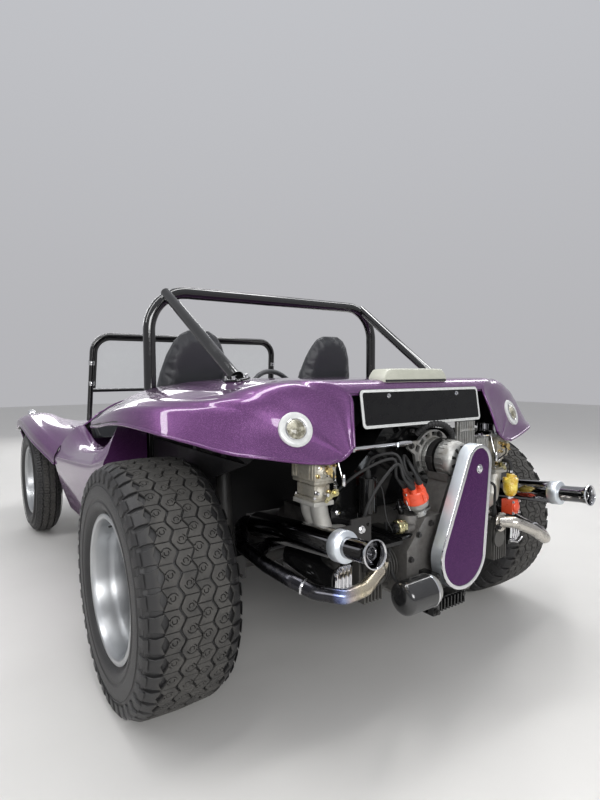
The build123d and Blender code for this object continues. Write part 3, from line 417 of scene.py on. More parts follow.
cowl = Piece("rear_cowl_moulding")
cowl_rows = []
for station in spline(cowl_stations, cowl_steps):
    y, deck_x, deck, crest_x, crest_z, crease_x, crease_z, edge_x, edge_z, fold = station
    half = folded([(0, deck), (deck_x, deck), (crest_x, crest_z), (crease_x, crease_z), (edge_x, edge_z)],
                  (fold, 80, 18), (0, -3, 4, 1), arc=9)
    cowl_rows.append([Vector(p) for p in both_sides(half, y)])
for smoothing in range(10):
    cowl_rows = [cowl_rows[0]] + [
        [(a + 2 * b + c) / 4 for a, b, c in zip(before, row, after)]
        for before, row, after in zip(cowl_rows, cowl_rows[1:], cowl_rows[2:])] + [cowl_rows[-1]]
middle = len(cowl_rows[0]) // 2
deck_run = 5
grid(cowl, cowl_rows, purple, outward=upward,
     skip=lambda r, c: r >= cowl_lip_row and middle - deck_run <= c < middle + deck_run)
modified(cowl, "SOLIDIFY", {"thickness": skin, "offset": -1, "use_quality_normals": True})
black = cowl.index(black_moulding)
cowl.mesh.normal_update()
for face in cowl.mesh.faces:
    centre = face.calc_center_median()
    from_inside = Vector((0, centre.y - cowl_inside_y, centre.z - cowl_inside_z))
    if face.normal.z < -0.35 or face.normal.dot(from_inside) < 0:
        face.material_index = black
lip_bead = 4.5
edges = [[row[0] for row in cowl_rows], [row[-1] for row in cowl_rows]]
inner = [[row[middle + side * deck_run] for row in cowl_rows[cowl_lip_row:]] for side in (-1, 1)]
lip = [p + Vector((0, 7, 0)) for p in cowl_rows[cowl_lip_row][middle - deck_run:middle + deck_run + 1]]
ends = [cowl_rows[-1][:middle - deck_run + 1], cowl_rows[-1][middle + deck_run:]]
for line in edges + inner + ends + [lip]:
    tube(cowl, [p - Vector((0, 0, skin / 2)) for p in line], lip_bead, purple, sides=10)
done(cowl, "root", ["rear_cowl"])


# Front moulding: scuttle, bonnet, both front wings, nose and lamp panels, with the inner walls
# that hang from it. Gloss metalflake outside, black underneath, bonded from one set of moulds.
wheelbase = 2030
clip_front = wheelbase + 410
nose_front = clip_front + 60
clip_inside = Vector((0, 1400, 300))
# Each row: y and z of the crown, then x and z of the shoulder, of the valley, of the crest and of the
# edge, and z of the lower edge.
clip_stations = [
    (1340.3, 845, 420, 815, 580, 700, 660, 640, 735, 548, 505),
    (1650, 800, 410, 740, 530, 668, 690, 688, 787, 645, 588),
    (wheelbase, 722, 370, 668, 460, 648, 660, 722, 794, 690, 642),
    (wheelbase + 250, 632, 330, 592, 420, 592, 640, 702, 782, 655, 600),
    (clip_front, 552, 300, 522, 400, 548, 620, 682, 752, 640, 585),
]

clip = Piece("front_moulding")
clip_rows = []
return_flange = 24
for y, crown, sh_x, sh_z, va_x, va_z, cr_x, cr_z, ed_x, ed_z, low in spline(clip_stations, 12):
    half = folded([(0, crown), (sh_x, sh_z), (va_x, va_z), (cr_x, cr_z), (ed_x, ed_z), (ed_x, low)],
                  (110, 90, 60, 18), (6, 5, -6, 6, 1))
    half.append(Vector((ed_x - return_flange * 0.4, low - 3)))
    half.append(Vector((ed_x - return_flange, low + 2)))
    clip_rows.append(both_sides(half, y))
grid(clip, clip_rows, purple, outward=upward)


def front_lower(x):
    """Lower edge of the lamp panels and nose."""
    x = abs(x)
    steps = [(0, 384), (270, 384), (360, 372), (450, 462), (700, 466), (752, 584)]
    for (x0, z0), (x1, z1) in zip(steps, steps[1:]):
        if x <= x1:
            t = (x - x0) / (x1 - x0)
            return z0 + (z1 - z0) * t * t * (3 - 2 * t)
    return steps[-1][1]


front_row = clip_rows[-1]
run_points, flange_points, fold_points = 5, 2, 4
skirt = run_points + flange_points + fold_points
face_row = front_row[skirt:len(front_row) - skirt]
curtain = [face_row]
curtain_steps = 22
for k in range(1, curtain_steps + 1):
    v = k / curtain_steps
    row = []
    for x, y, z in face_row:
        lower = min(front_lower(x), z - 2)
        wide = max(0.0, min(1.0, (430 - abs(x)) / 150))
        bulge = (nose_front - clip_front - 1) * wide * wide * (3 - 2 * wide)
        push = min(1.0, v / 0.32)
        tuck = max(0.0, (v - 0.86) / 0.14)
        place = y + 3 * sin(pi * v) + bulge * (push * (2 - push) - 0.35 * tuck * tuck)
        row.append((x, place, z + (lower - z) * v))
    curtain.append(row)
grid(clip, curtain, purple, outward=(0, 1, 0))
modified(clip, "SOLIDIFY", {"thickness": skin, "offset": -1, "use_quality_normals": True})
black = clip.index(black_moulding)
clip.mesh.normal_update()
for face in clip.mesh.faces:
    inward = clip_inside - face.calc_center_median()
    if face.normal.z < -0.5 or face.normal.dot(inward) > 0:
        face.material_index = black
for line in ([row[-3] for row in clip_rows], [row[2] for row in clip_rows], curtain[-1]):
    tube(clip, line, lip_bead, purple, sides=10)
wall_outline = [(1642, 290), (1642, 728), (wheelbase, 650), (wheelbase + 250, 575), (clip_front - 6, 532),
                (clip_front - 6, 372), (wheelbase + 170, 290)]
rod_slot = [(wheelbase - 180, 405), (wheelbase + 60, 405), (wheelbase + 60, 485), (wheelbase - 180, 485)]
beam_y = wheelbase + 150
beam_heights = (250, 400)
nose_wall_x = 360


def cut_sheet(piece, outline, holes, thickness, finish, at):
    """A flat sheet with holes, its outline in X and Y of its placing, thickness along Z."""
    work = bmesh.new()
    edges = []
    for loop in [outline] + holes:
        points = [work.verts.new((a, b, 0)) for a, b in loop]
        edges += [work.edges.new((points[n - 1], points[n])) for n in range(len(points))]
    bmesh.ops.triangle_fill(work, use_beauty=True, edges=edges)
    raised = bmesh.ops.extrude_face_region(work, geom=work.faces[:])
    bmesh.ops.translate(work, vec=(0, 0, thickness),
                        verts=[g for g in raised["geom"] if isinstance(g, bmesh.types.BMVert)])
    bmesh.ops.recalc_face_normals(work, faces=work.faces)
    absorb(piece, work, finish, at)


def absorb(piece, work, finish, at):
    """Adds a finished bmesh to a piece at a placing."""
    copies = {v: piece.mesh.verts.new(at @ v.co) for v in work.verts}
    for face in work.faces:
        made = piece.mesh.faces.new([copies[v] for v in face.verts])
        made.material_index = piece.index(finish)
    work.free()


side_view = Matrix(((0, 0, 1, 0), (1, 0, 0, 0), (0, 1, 0, 0), (0, 0, 0, 1)))
for side in (-1, 1):
    wall_at = Matrix.Translation((side * (nose_wall_x - 4) - 3, 0, 0)) @ side_view
    holes = [rod_slot] + [ring_of(30, (beam_y, z)) for z in beam_heights if z > 300]
    cut_sheet(clip, wall_outline, holes, 6, black_moulding, wall_at)
done(clip, "root", ["front_clip"])


# Side bodies: sill and cockpit side in one glass-fibre moulding, a hollow section closed against
# the tub and bonded to the floor pan.
# Each row: y, rim z, crease z, crease x, foot x
side_stations = [
    (401, 872, 640, 742, 664),
    (520, 765, 612, 740, 662),
    (650, 690, 588, 737, 660),
    (1050, 622, 552, 735, 660),
    (1340, 690, 530, 735, 660),
]
side_inner = 582
pan_top = 245
hands = ((1, "right"), (-1, "left"))

for side, word in hands:
    moulding = Piece(f"side_moulding_{word}")
    rows = []
    for y, rim_z, crease_z, crease_x, foot_x in spline(side_stations, 10):
        outline = folded([(side_inner, pan_top), (foot_x, 262), (crease_x, crease_z),
                          (crease_x - 14, crease_z + 26),
                          (628, rim_z - 6), (612, rim_z), (side_inner, rim_z), (side_inner, pan_top)],
                         (22, 26, 20, 26, 12, 8), (0, -5, -1, -10, -1, 0, 0), run=4, arc=4)
        rows.append([(side * x, y, z) for x, z in outline[:-1]])
    grid(moulding, rows, purple, wrap=True, caps=True)
    black = moulding.index(black_moulding)
    moulding.mesh.normal_update()
    for face in moulding.mesh.faces:
        if face.normal.y < -0.7 and face.calc_center_median().y < side_stations[0][0] + 5:
            face.material_index = black
    done(moulding, "root", [f"side_body_{word}"], sharp=50)


# Roll bar: one bent hoop of gloss black steel tube behind the seats, with two stays welded to it
# whose feet are bolted to the deck.
gloss_black = mottled(14.0, 5.0, (0.003, 0.003, 0.0035), (0.008, 0.008, 0.008), (0.35, 0.75, 0.05, 0.16),
                      (60.0, 1.0, 0.0002))
gloss_paint = material("gloss_black_paint", {"Coat Weight": 0.6, "Coat Roughness": 0.06}, gloss_black)
chrome = material("chrome", {"Metallic": 1.0}, mottled(
    60.0, 4.0, (0.62, 0.62, 0.64), (0.74, 0.74, 0.75), (0.35, 0.75, 0.04, 0.16)))
hoop_x = 556
hoop_y = 430
hoop_radius = 22.5
hoop_corner = 1289 - hoop_radius
stay_radius = 19
stay_foot = (453, -58, 940.9)
stay_top_x = 490
pad_bolt_radius = 32
deck_slope = radians(7.5)
rearward = (0, -1, 0)


def fasteners(piece, places, across, height, finish):
    """Hexagon heads on washers at (point, direction) places, made by a node tree."""
    spots = bpy.data.meshes.new("spots")
    spots.from_pydata([tuple(p) for p, _ in places], [], [])
    facing = spots.attributes.new("facing", "FLOAT_VECTOR", "POINT")
    facing.data.foreach_set("vector", [v for _, d in places for v in d])
    work = put("spots", spots)
    modifier = work.modifiers.new("fasteners", "NODES")
    modifier.node_group = fastener_tree
    for name, value in (("Across", across), ("Height", height), ("Finish", finish)):
        modifier[fastener_tree.interface.items_tree[name].identifier] = value
    take(piece, work)


def take(piece, work):
    """Adds the evaluated mesh of a work object to a piece, with its materials, and removes the object."""
    shape = bpy.data.meshes.new_from_object(work.evaluated_get(bpy.context.evaluated_depsgraph_get()))
    start = len(piece.mesh.faces)
    piece.mesh.from_mesh(shape)
    piece.mesh.faces.ensure_lookup_table()
    slots = [piece.index(finish) for finish in shape.materials]
    for face in piece.mesh.faces[start:]:
        face.material_index = slots[min(face.material_index, len(slots) - 1)]
    data = work.data
    bpy.data.objects.remove(work)
    bpy.data.meshes.remove(data)
    bpy.data.meshes.remove(shape)


def node_tree(name, sockets):
    """An empty geometry tree and its inputs by name."""
    tree = bpy.data.node_groups.new(name, "GeometryNodeTree")
    tree.interface.new_socket(name="Geometry", in_out="OUTPUT", socket_type="NodeSocketGeometry")
    tree.interface.new_socket(name="Geometry", in_out="INPUT", socket_type="NodeSocketGeometry")
    for socket, kind in sockets:
        tree.interface.new_socket(name=socket, in_out="INPUT", socket_type="NodeSocket" + kind)
    entry = tree.nodes.new("NodeGroupInput")
    given = {o.name: Out(tree, o) for o in entry.outputs if o.name}
    return tree, given


def close_tree(tree, geometry, finish):
    whole = geometry.node("GeometryNodeRealizeInstances", {}, {"Geometry": geometry})
    whole = whole.node("GeometryNodeSetMaterial", {}, {"Geometry": whole, "Material": finish})
    exit_node = tree.nodes.new("NodeGroupOutput")
    tree.links.new(whole.socket, exit_node.inputs["Geometry"])


fastener_tree, given = node_tree("fasteners",
                                 [("Across", "Float"), ("Height", "Float"), ("Finish", "Material")])
head = given["Across"].node("GeometryNodeMeshCylinder", {}, {
    "Vertices": 6, "Radius": given["Across"] / sqrt(3), "Depth": given["Height"]})
lifted = head.node("ShaderNodeCombineXYZ", {}, {"Z": given["Height"] * 0.75})
head = head.node("GeometryNodeTransform", {}, {"Geometry": head, "Translation": lifted})
washer = given["Across"].node("GeometryNodeMeshCylinder", {}, {
    "Vertices": 20, "Radius": given["Across"] * 0.85, "Depth": given["Height"] * 0.25})
lifted = washer.node("ShaderNodeCombineXYZ", {}, {"Z": given["Height"] * 0.125})
washer = washer.node("GeometryNodeTransform", {}, {"Geometry": washer, "Translation": lifted})
pair = head.node("GeometryNodeJoinGeometry", {}, {"Geometry": head})
fastener_tree.links.new(washer.socket, pair.socket.node.inputs[0])
aim = head.node("GeometryNodeInputNamedAttribute", {"data_type": "FLOAT_VECTOR"}, {"Name": "facing"})
turn = head.node("FunctionNodeAlignRotationToVector", {"axis": "Z"}, {"Vector": aim})
spread = head.node("GeometryNodeInstanceOnPoints", {},
                   {"Points": given["Geometry"], "Instance": pair, "Rotation": turn})
close_tree(fastener_tree, spread, given["Finish"])

roll_bar = Piece("roll_bar_tube")
corner = hoop_corner
tube(roll_bar, bent_path([(-hoop_x, hoop_y, pan_top), (-hoop_x, hoop_y, corner), (hoop_x, hoop_y, corner),
                          (hoop_x, hoop_y, pan_top)], 150, radians(5)), hoop_radius, gloss_paint, sides=36)
x, y, z = stay_foot
pad_bolts = []
for side in (-1, 1):
    slope = (side * sin(deck_slope), 0, cos(deck_slope))
    stay_top = Vector((side * stay_top_x, hoop_y, corner - 5))
    tube(roll_bar, [stay_top, (side * x, y - 4, z - 1)], stay_radius, gloss_paint, sides=30)
    foot_at = axis_at((side * x, y, z), slope, (0, 1, 0))
    lathe(roll_bar, [(0, 4), (24, 4), (26, 3.2), (40, 3), (42, 1.5), (42, -3), (0, -3)], gloss_paint, foot_at)
    weld = Vector((side * x, y - 4, z))
    away = (stay_top - weld).normalized()
    lathe(roll_bar, [(stay_radius + 5, 0), (stay_radius + 3.4, 3), (stay_radius - 1, 8)], gloss_paint,
          axis_at(weld + away * 6, away), 30)
    pad_bolts += [(foot_at @ Vector((pad_bolt_radius * cos(a), pad_bolt_radius * sin(a), 3)), slope)
                  for a in map(radians, (45, 135, 225, 315))]
fasteners(roll_bar, pad_bolts, 11, 8, chrome)
done(roll_bar, "root", ["roll_bar"])


# Windscreen: a bent black tube frame with a cross rail, and flat glass in a rubber seal, held by
# bright clamps bolted round the tube.
screen_half = 548
screen_top = 1165
screen_tube = 13
screen_rail_z = 868
screen_rake = radians(6.5)


def on_screen(x, z):
    return Vector((x, 1362 - (z - 730) * tan(screen_rake), z))


screen = Piece("windscreen_tube")
foot_z = 712
corners = [on_screen(screen_half + 8, foot_z), on_screen(screen_half - 8, screen_top - screen_tube)]
corners += [Vector((-c.x, c.y, c.z)) for c in reversed(corners)]
tube(screen, bent_path(corners, 92, radians(5)), screen_tube, gloss_paint, sides=28)
rail = on_screen(screen_half + 2, screen_rail_z)
tube(screen, [rail, (-rail.x, rail.y, rail.z)], 9, gloss_paint, sides=20)
seal = bent_path([on_screen(screen_half - 16, screen_rail_z + 12),
                  on_screen(screen_half - 27, screen_top - 32),
                  on_screen(-screen_half + 27, screen_top - 32),
                  on_screen(-screen_half + 16, screen_rail_z + 12)],
                 74, radians(6))
rubber = material("rubber", {"Specular IOR Level": 0.35}, mottled(
    40.0, 4.0, (0.012, 0.012, 0.013), (0.03, 0.03, 0.03), (0.3, 0.7, 0.5, 0.72)))
tube(screen, seal, 6.5, rubber, sides=12)
screen_bolts = []
for side in (-1, 1):
    for z in (905, 1010):
        clamp = on_screen(side * (screen_half - 2), z)
        lathe(screen, [(15.5, -11), (15.5, 11)], chrome, axis_at(clamp, (0, -sin(screen_rake), 1)), 28)
        screen_bolts.append((clamp + Vector((0, -15, 0)), rearward))
fasteners(screen, screen_bolts, 9, 5, chrome)
done(screen, "root", ["windscreen_frame"])


def clear_glass(point):
    smear = noise(point, 8.0, 5.0)
    return {"Roughness": ramp(smear, 0.4, 0.75, 0.0, 0.05),
            "Base Color": mix(smear, (0.70, 0.76, 0.75), (0.80, 0.85, 0.84)),
            "Alpha": ramp(smear, 0.3, 0.8, 0.06, 0.11)}


glass = material("clear_glass", {"Specular IOR Level": 0.8}, clear_glass)


# Tyres: rubber casings turned to the section of the real ones, with moulded tread. The back ones
# have zigzag rows of lobed blocks between notched shoulder lugs, the front ones plain ribs.
def tread_rubber(middle_x, centre_y, centre_z, radius, half):
    def varied(point):
        x, y, z = axes(point)
        out = ((y - centre_y) ** 2 + (z - centre_z) ** 2) ** 0.5
        across = (x - middle_x).maths("ABSOLUTE", x - middle_x)
        crown = ramp(out, radius - 0.012, radius - 0.002) * ramp(across, half * 0.62, half * 0.9, 1.0, 0.0)
        grime = noise(point, 26.0, 6.0)
        scuff = ramp(noise(point, 160.0, 4.0), 0.42, 0.68)
        base = mix(grime, (0.012, 0.012, 0.013), (0.024, 0.023, 0.023))
        dust = mix(grime, (0.040, 0.039, 0.037), (0.080, 0.076, 0.070))
        base = mix(crown * ramp(grime, 0.2, 0.6, 0.62, 1.0), base, dust)
        base = mix(scuff * crown * 0.35, base, (0.05, 0.047, 0.043))
        grain = noise(point, 700.0, 2.0)
        return {"Base Color": base, "Roughness": ramp(crown + grime * 0.3, 0.1, 1.0, 0.46, 0.86),
                "Normal": bump(grain, 0.0006)}
    return varied


ring_tree, given = node_tree("round_and_round", [
    ("Count", "Int"), ("Centre", "Vector"), ("Axis", "Vector"), ("Finish", "Material")])
points = given["Count"].node("GeometryNodePoints", {}, {"Count": given["Count"], "Position": given["Centre"]})
share = given["Count"].node("GeometryNodeInputIndex") * (2 * pi) / given["Count"]
turn = share.node("FunctionNodeAxisAngleToRotation", {}, {"Axis": given["Axis"], "Angle": share})
spread = share.node("GeometryNodeInstanceOnPoints", {}, {
    "Points": points, "Instance": given["Geometry"], "Rotation": turn})
close_tree(ring_tree, spread, given["Finish"])


def around(piece, unit, count, centre, axis, finish):
    """Repeats a unit piece, made about its centre, around an axis."""
    data = bpy.data.meshes.new("unit")
    bmesh.ops.recalc_face_normals(unit.mesh, faces=unit.mesh.faces)
    unit.mesh.to_mesh(data)
    unit.mesh.free()
    work = put("unit", data)
    modifier = work.modifiers.new("around", "NODES")
    modifier.node_group = ring_tree
    for name, value in (("Count", count), ("Centre", centre), ("Axis", axis), ("Finish", finish)):
        modifier[ring_tree.interface.items_tree[name].identifier] = value
    take(piece, work)


def tyre_profile(radius, width, rim_radius, crown):
    """Half the outside of a tyre from the bead to the middle of the tread, as (x, radius)."""
    half = width / 2
    bead = half - 22
    return [(bead, rim_radius + 3), (bead, rim_radius + 16), (half - 2, rim_radius + 34),
            (half, rim_radius + 0.5 * (radius - rim_radius)), (half - 8, radius - 30),
            (half - 20, radius - crown - 4), (half - 42, radius - crown / 3), (0, radius)]


def crown_radius(profile, x):
    """Height of the tread over the profile's last runs."""
    x = abs(x)
    for (x0, r0), (x1, r1) in zip(profile, profile[1:]):
        if x1 <= x <= x0 and r0 > profile[3][1]:
            return r0 + (r1 - r0) * (x0 - x) / (x0 - x1)
    return profile[-4][1]


def casing(piece, profile, rim_radius, depth, at, finish):
    """The turned casing: smooth outside, lowered by the tread's depth, and a hollow inside."""
    outside = folded(profile, (6, 12, 40, 24, 16, 20), (0, 0, 3, 2, 1, 0, 0), run=3, arc=5)
    lowered = []
    for x, r in outside:
        sink = depth * max(0.0, min(1.0, (r - profile[4][1]) / 12))
        lowered.append((x, r - sink))
    half = profile[3][0]
    inside = [(half - 14, profile[1][1] + 24), (half - 34, rim_radius + 4)]
    loop = [(-x, r) for x, r in lowered] + [(x, r) for x, r in reversed(lowered[:-1])]
    loop += [(x, r) for x, r in reversed(inside)] + [(-x, r) for x, r in inside]
    loop.append(loop[0])
    lathe(piece, [(r, x) for x, r in loop], finish, at, segments=120)


def tread_block(unit, edge, place, rings, finish):
    """A lobed block: its outline, then (share, circle, depth, from, to) rings, sunk between two angles."""
    middle = sum((Vector(p) for p in edge), Vector((0, 0))) / len(edge)
    rows = []
    for shrink, circle, low, start, stop in rings:
        row = []
        for point in edge:
            spoke = Vector(point) - middle
            turn = (atan2(spoke.y, spoke.x) - radians(start)) % (2 * pi)
            spoke = spoke.normalized() * circle if circle else spoke * shrink
            row.append(place(middle + spoke, low if turn <= radians(stop - start) else 0))
        rows.append(row)
    grid(unit, rows, finish, wrap=True, caps=True)


rear_radius, rear_width, rear_bead, rear_x = 355, 268, 196, 716
front_radius, front_width, front_bead, front_x = 313, 146, 188, 692
pitches = 42
tread_depth = 9
rear_profile = tyre_profile(rear_radius, rear_width, rear_bead, 12)
front_profile = tyre_profile(front_radius, front_width, front_bead, 10)
row_edges = (-84, -42, 0, 42, 84)
groove = 6.6


def rear_tread(piece, at_x, finish, mirror):
    """One pitch of the back tread, repeated round the wheel."""
    pitch = 2 * pi * rear_radius / pitches
    unit = Piece("pitch")

    def zigzag(s):
        t = (s / pitch) % 1.0
        return 7.5 * (abs(sin(pi * t)) - abs(cos(pi * t)))

    def place(point, low):
        x, s = point
        r = crown_radius(rear_profile, x) - low
        a = s / rear_radius
        return (mirror * x, -r * sin(a), r * cos(a))

    cut = 1.1
    steps = 7
    for row in range(4):
        offset = (row % 2) * pitch / 2
        flip = -1 if row % 2 else 1
        low, high = row_edges[row], row_edges[row + 1]
        edge = []
        for k in range(steps + 1):
            s = offset + cut + (pitch - 2 * cut) * k / steps
            edge.append((high - groove / 2 + flip * zigzag(s - offset), s))
        edge += [(high + (low - high) * k / 4, offset + pitch - cut) for k in range(1, 4)]
        for k in range(steps + 1):
            s = offset + pitch - cut - (pitch - 2 * cut) * k / steps
            edge.append((low + groove / 2 + flip * zigzag(s - offset), s))
        edge += [(low + (high - low) * k / 4, offset + cut) for k in range(1, 4)]
        start = 20 + 180 * (row % 2)
        whole = (0, 360)
        outer_arc, inner_arc = (start, start + 215), (start + 140, start + 380)
        tread_block(unit, edge, place, [
            (1.0, 0, tread_depth + 1, *whole), (1.0, 0, 1.2, *whole), (0.93, 0, 0, *whole),
            (0, 13.8, 0, *whole), (0, 13.2, 6, *outer_arc), (0, 11.2, 6, *outer_arc), (0, 10.6, 0, *whole),
            (0, 7.6, 0, *whole), (0, 7, 6, *inner_arc), (0, 5.2, 6, *inner_arc), (0, 4.6, 0, *whole)], finish)
    inner, notch, lug_gap, lug_start = 84 + groove / 2, 9, 8.5, 4.2
    reach = (inner, inner + 20, 108, 118, 124)
    width = pitch - lug_gap
    for side in (-1, 1):
        offset = pitch / 2 if side > 0 else 0
        wing = []
        for order, along, gain in ((reach, 0, 0.55), (reach[::-1], width, -0.25)):
            for x in order:
                lean = notch * sin(pi * min(1.0, (x - inner) / 40))
                wing.append((side * x, offset + lug_start + along + lean * gain))
        inner_edge = [(side * (inner + 0.7 * zigzag(s - offset) + 3), s) for s in
                      (offset + lug_start + width * k / 6 for k in range(5, 0, -1))]
        tread_block(unit, wing + inner_edge, place, [
            (1.0, 0, tread_depth + 2, *whole), (1.0, 0, 1.2, *whole), (0.92, 0, 0, *whole)], finish)
        rows = []
        for low, out in ((0, 4.5), (26, 6.5)):
            row = []
            for x, s in ((118, 8), (126, 11), (126, width - 6), (118, width - 2)):
                r = rear_radius - (30 if x > 120 else 18) - low
                a = (offset + s) / rear_radius
                row.append((mirror * side * (x + out), -r * sin(a), r * cos(a)))
            rows.append(row)
        grid(unit, rows, finish, wrap=True, caps=True)
    around(piece, unit, pitches, (at_x, 0, rear_radius), (1, 0, 0), finish)


for side, word in hands:
    finish = material(f"tread_rubber_rear_{word}", {}, tread_rubber(
        side * rear_x / 1000, rear_axle / 1000, rear_radius / 1000, rear_radius / 1000, rear_width / 2000))
    tyre = Piece(f"rear_tyre_tread_{word}")
    at = axis_at((side * rear_x, 0, rear_radius), (1, 0, 0), upward)
    casing(tyre, rear_profile, rear_bead, tread_depth, at, finish)
    for r, x in ((232, 112.5), (290, 131.5), (318, 126.5)):
        for edge in (-1, 1):
            lathe(tyre, [(r - 2.2, edge * (x - 2)), (r, edge * (x + 2.2)),
                         (r + 2.2, edge * (x - 2))], finish, at, 96)
    rear_tread(tyre, side * rear_x, finish, side)
    done(tyre, f"rear_wheel_{word}", [f"rear_tyre_{word}"], sharp=30)

    finish = material(f"tread_rubber_front_{word}", {}, tread_rubber(
        side * front_x / 1000, (rear_axle + wheelbase) / 1000, front_radius / 1000, front_radius / 1000,
        front_width / 2000))
    tyre = Piece(f"front_tyre_tread_{word}")
    at = axis_at((side * front_x, wheelbase, front_radius), (1, 0, 0), upward)
    casing(tyre, front_profile, front_bead, 8, at, finish)
    pitch = 2 * pi * front_radius / 60
    for low, high in ((-58, -37), (-29.5, -4), (4, 29.5), (37, 58)):
        unit = Piece("rib")
        for wave, a, b in ((-2.4, 0, 0.46), (2.4, 0.5, 0.96)):
            rows = []
            for depth, tuck in ((9, 0), (1, 0), (0, 1)):
                row = []
                for x, s in ((low + wave + tuck, a), (high + wave - tuck, a), (high - wave - tuck, b),
                             (low - wave + tuck, b)):
                    r = crown_radius(front_profile, x) - depth
                    angle = (s * pitch + (tuck if s == a else -tuck)) / front_radius
                    row.append((x, -r * sin(angle), r * cos(angle)))
                rows.append(row)
            grid(unit, rows, finish, wrap=True, caps=True)
        around(tyre, unit, 60, (side * front_x, wheelbase, front_radius), (1, 0, 0), finish)
    for r, x in ((222, 66), (262, 74.2)):
        for edge in (-1, 1):
            lathe(tyre,
                  [(r - 2, edge * (x - 2)), (r, edge * (x + 1)), (r + 2, edge * (x - 2))], finish, at, 80)
    done(tyre, f"front_wheel_{word}", [f"front_tyre_{word}"], sharp=30)


# Wheels: spun aluminium rims with a rolled lip and a deep polished barrel, riveted to pressed steel
# centres that are bolted to the brake drums.
def turned_metal(axis_y, axis_z, scale=1.0):
    def varied(point):
        x, y, z = axes(point)
        out = ((y - axis_y) ** 2 + (z - axis_z) ** 2) ** 0.5
        track = point.node("ShaderNodeCombineXYZ", {}, {"X": x * 4.0, "Y": out * 4.0, "Z": 0.0})
        lines = track.node("ShaderNodeTexNoise", {}, {"Vector": track, "Scale": 220.0, "Detail": 3.0}, "Fac")
        haze = noise(point, 5.0, 2.0)
        return {"Base Color": mix(haze, (0.42, 0.43, 0.44), (0.50, 0.51, 0.52)),
                "Roughness": ramp(lines, 0.3, 0.7, 0.30, 0.42), "Normal": bump(lines, 0.00008)}
    return varied


def casting(grain, dirt, body, dark, light, soot, share, metal, blend, rough, relief):
    """Cast metal: a fine grain, dirt in patches that dulls it, and a colour that wanders under both."""
    def varied(point):
        grit = noise(point, grain, 4.0)
        grime = ramp(noise(point, dirt[0], 6.0), *dirt[1:])
        base = mix(noise(point, body, 3.0), dark, light)
        return {"Base Color": mix(grime * share, base, soot), "Metallic": ramp(grime, 0.0, 1.0, *metal),
                "Roughness": ramp(grit * blend[0] + grime * blend[1], *rough), "Normal": bump(grit, relief)}
    return varied


grey_casting = casting(600.0, (34.0, 0.42, 0.72), 120.0, (0.40, 0.40, 0.39), (0.54, 0.54, 0.52),
                       (0.16, 0.145, 0.12), 0.65, (0.85, 0.45), (0.4, 1.0), (0.2, 1.2, 0.36, 0.72), 0.0009)
cast_metal = material("cast_aluminium", {}, grey_casting)


def wheel_rim(piece, at, half, bead_radius, dish, metal):
    """Rolled lip, bead seat, safety step and deep barrel in one turned section."""
    lip = half + 9
    section = [(bead_radius - 5, lip - 8), (bead_radius - 2, lip - 2), (bead_radius + 3, lip + 0.5),
               (bead_radius + 8, lip), (bead_radius + 12, lip - 2.5), (bead_radius + 11.5, half + 1),
               (bead_radius + 2.5, half - 1), (bead_radius + 1, half - 24), (dish + 8, half - 36)]
    inside = [(dish - 2, half - 62), (dish, half - 56), (bead_radius - 9, half - 40),
              (bead_radius - 8, half - 8), (bead_radius - 5, lip - 8)]
    loop = section + [(r, -z) for r, z in reversed(section)]
    loop += [(r, -z) for r, z in reversed(inside)][1:] + inside
    lathe(piece, loop, metal, at, segments=96)


def disc_with_holes(piece, at, rings, holes, hole_circle, hole_radius, thickness, finish):
    """A pressed disc: (radius, height) rings with a ring of round holes, and a rolled edge in each."""
    work = Piece("disc")

    def height(radius):
        for (r0, z0), (r1, z1) in zip(rings, rings[1:]):
            if min(r0, r1) <= radius <= max(r0, r1):
                return z0 + (z1 - z0) * (radius - r0) / (r1 - r0)
        return rings[-1][1]

    low, high = hole_circle - hole_radius - 6, hole_circle + hole_radius + 6
    inner_ring = [(r, z) for r, z in rings if r < low] + [(low, height(low))]
    outer_ring = [(high, height(high))] + [(r, z) for r, z in rings if r > high]
    for part in (inner_ring, outer_ring):
        lathe(work, part, finish, segments=holes * 12)
    for hole in range(holes):
        middle = 2 * pi * (hole + 0.5) / holes
        count = 24
        loops = []
        for share in (0.0, 1.0):
            row = []
            for n in range(count + 1):
                a = 2 * pi * n / count
                u, v = cos(a), sin(a)
                if share:
                    x, y = hole_circle + hole_radius * u, hole_radius * v
                    radius = hypot(x, y)
                    angle = middle + atan2(y, x)
                else:
                    big = max(abs(u), abs(v))
                    radius = hole_circle + (high - hole_circle) * u / big
                    angle = middle + v / big * pi / holes
                row.append((radius * cos(angle), radius * sin(angle), height(radius)))
            loops.append(row)
        rolled = [(hole_circle + (hole_radius - 3) * cos(2 * pi * n / count),
                   (hole_radius - 3) * sin(2 * pi * n / count)) for n in range(count + 1)]
        loops.append([(hypot(x, y) * cos(middle + atan2(y, x)), hypot(x, y) * sin(middle + atan2(y, x)),
                       height(hypot(x, y)) - 4) for x, y in rolled])
        grid(work, loops, finish)
    bmesh.ops.remove_doubles(work.mesh, verts=work.mesh.verts, dist=0.05)
    modified(work, "SOLIDIFY", {"thickness": thickness, "offset": -1})
    absorb(piece, work.mesh, finish, at)


dark_steel = mottled(40.0, 5.0, (0.012, 0.012, 0.013), (0.035, 0.033, 0.031), (0.3, 0.75, 0.28, 0.55),
                     (300.0, 3.0, 0.0003))
satin_steel = material("satin_black_steel", {"Specular IOR Level": 0.25}, dark_steel)
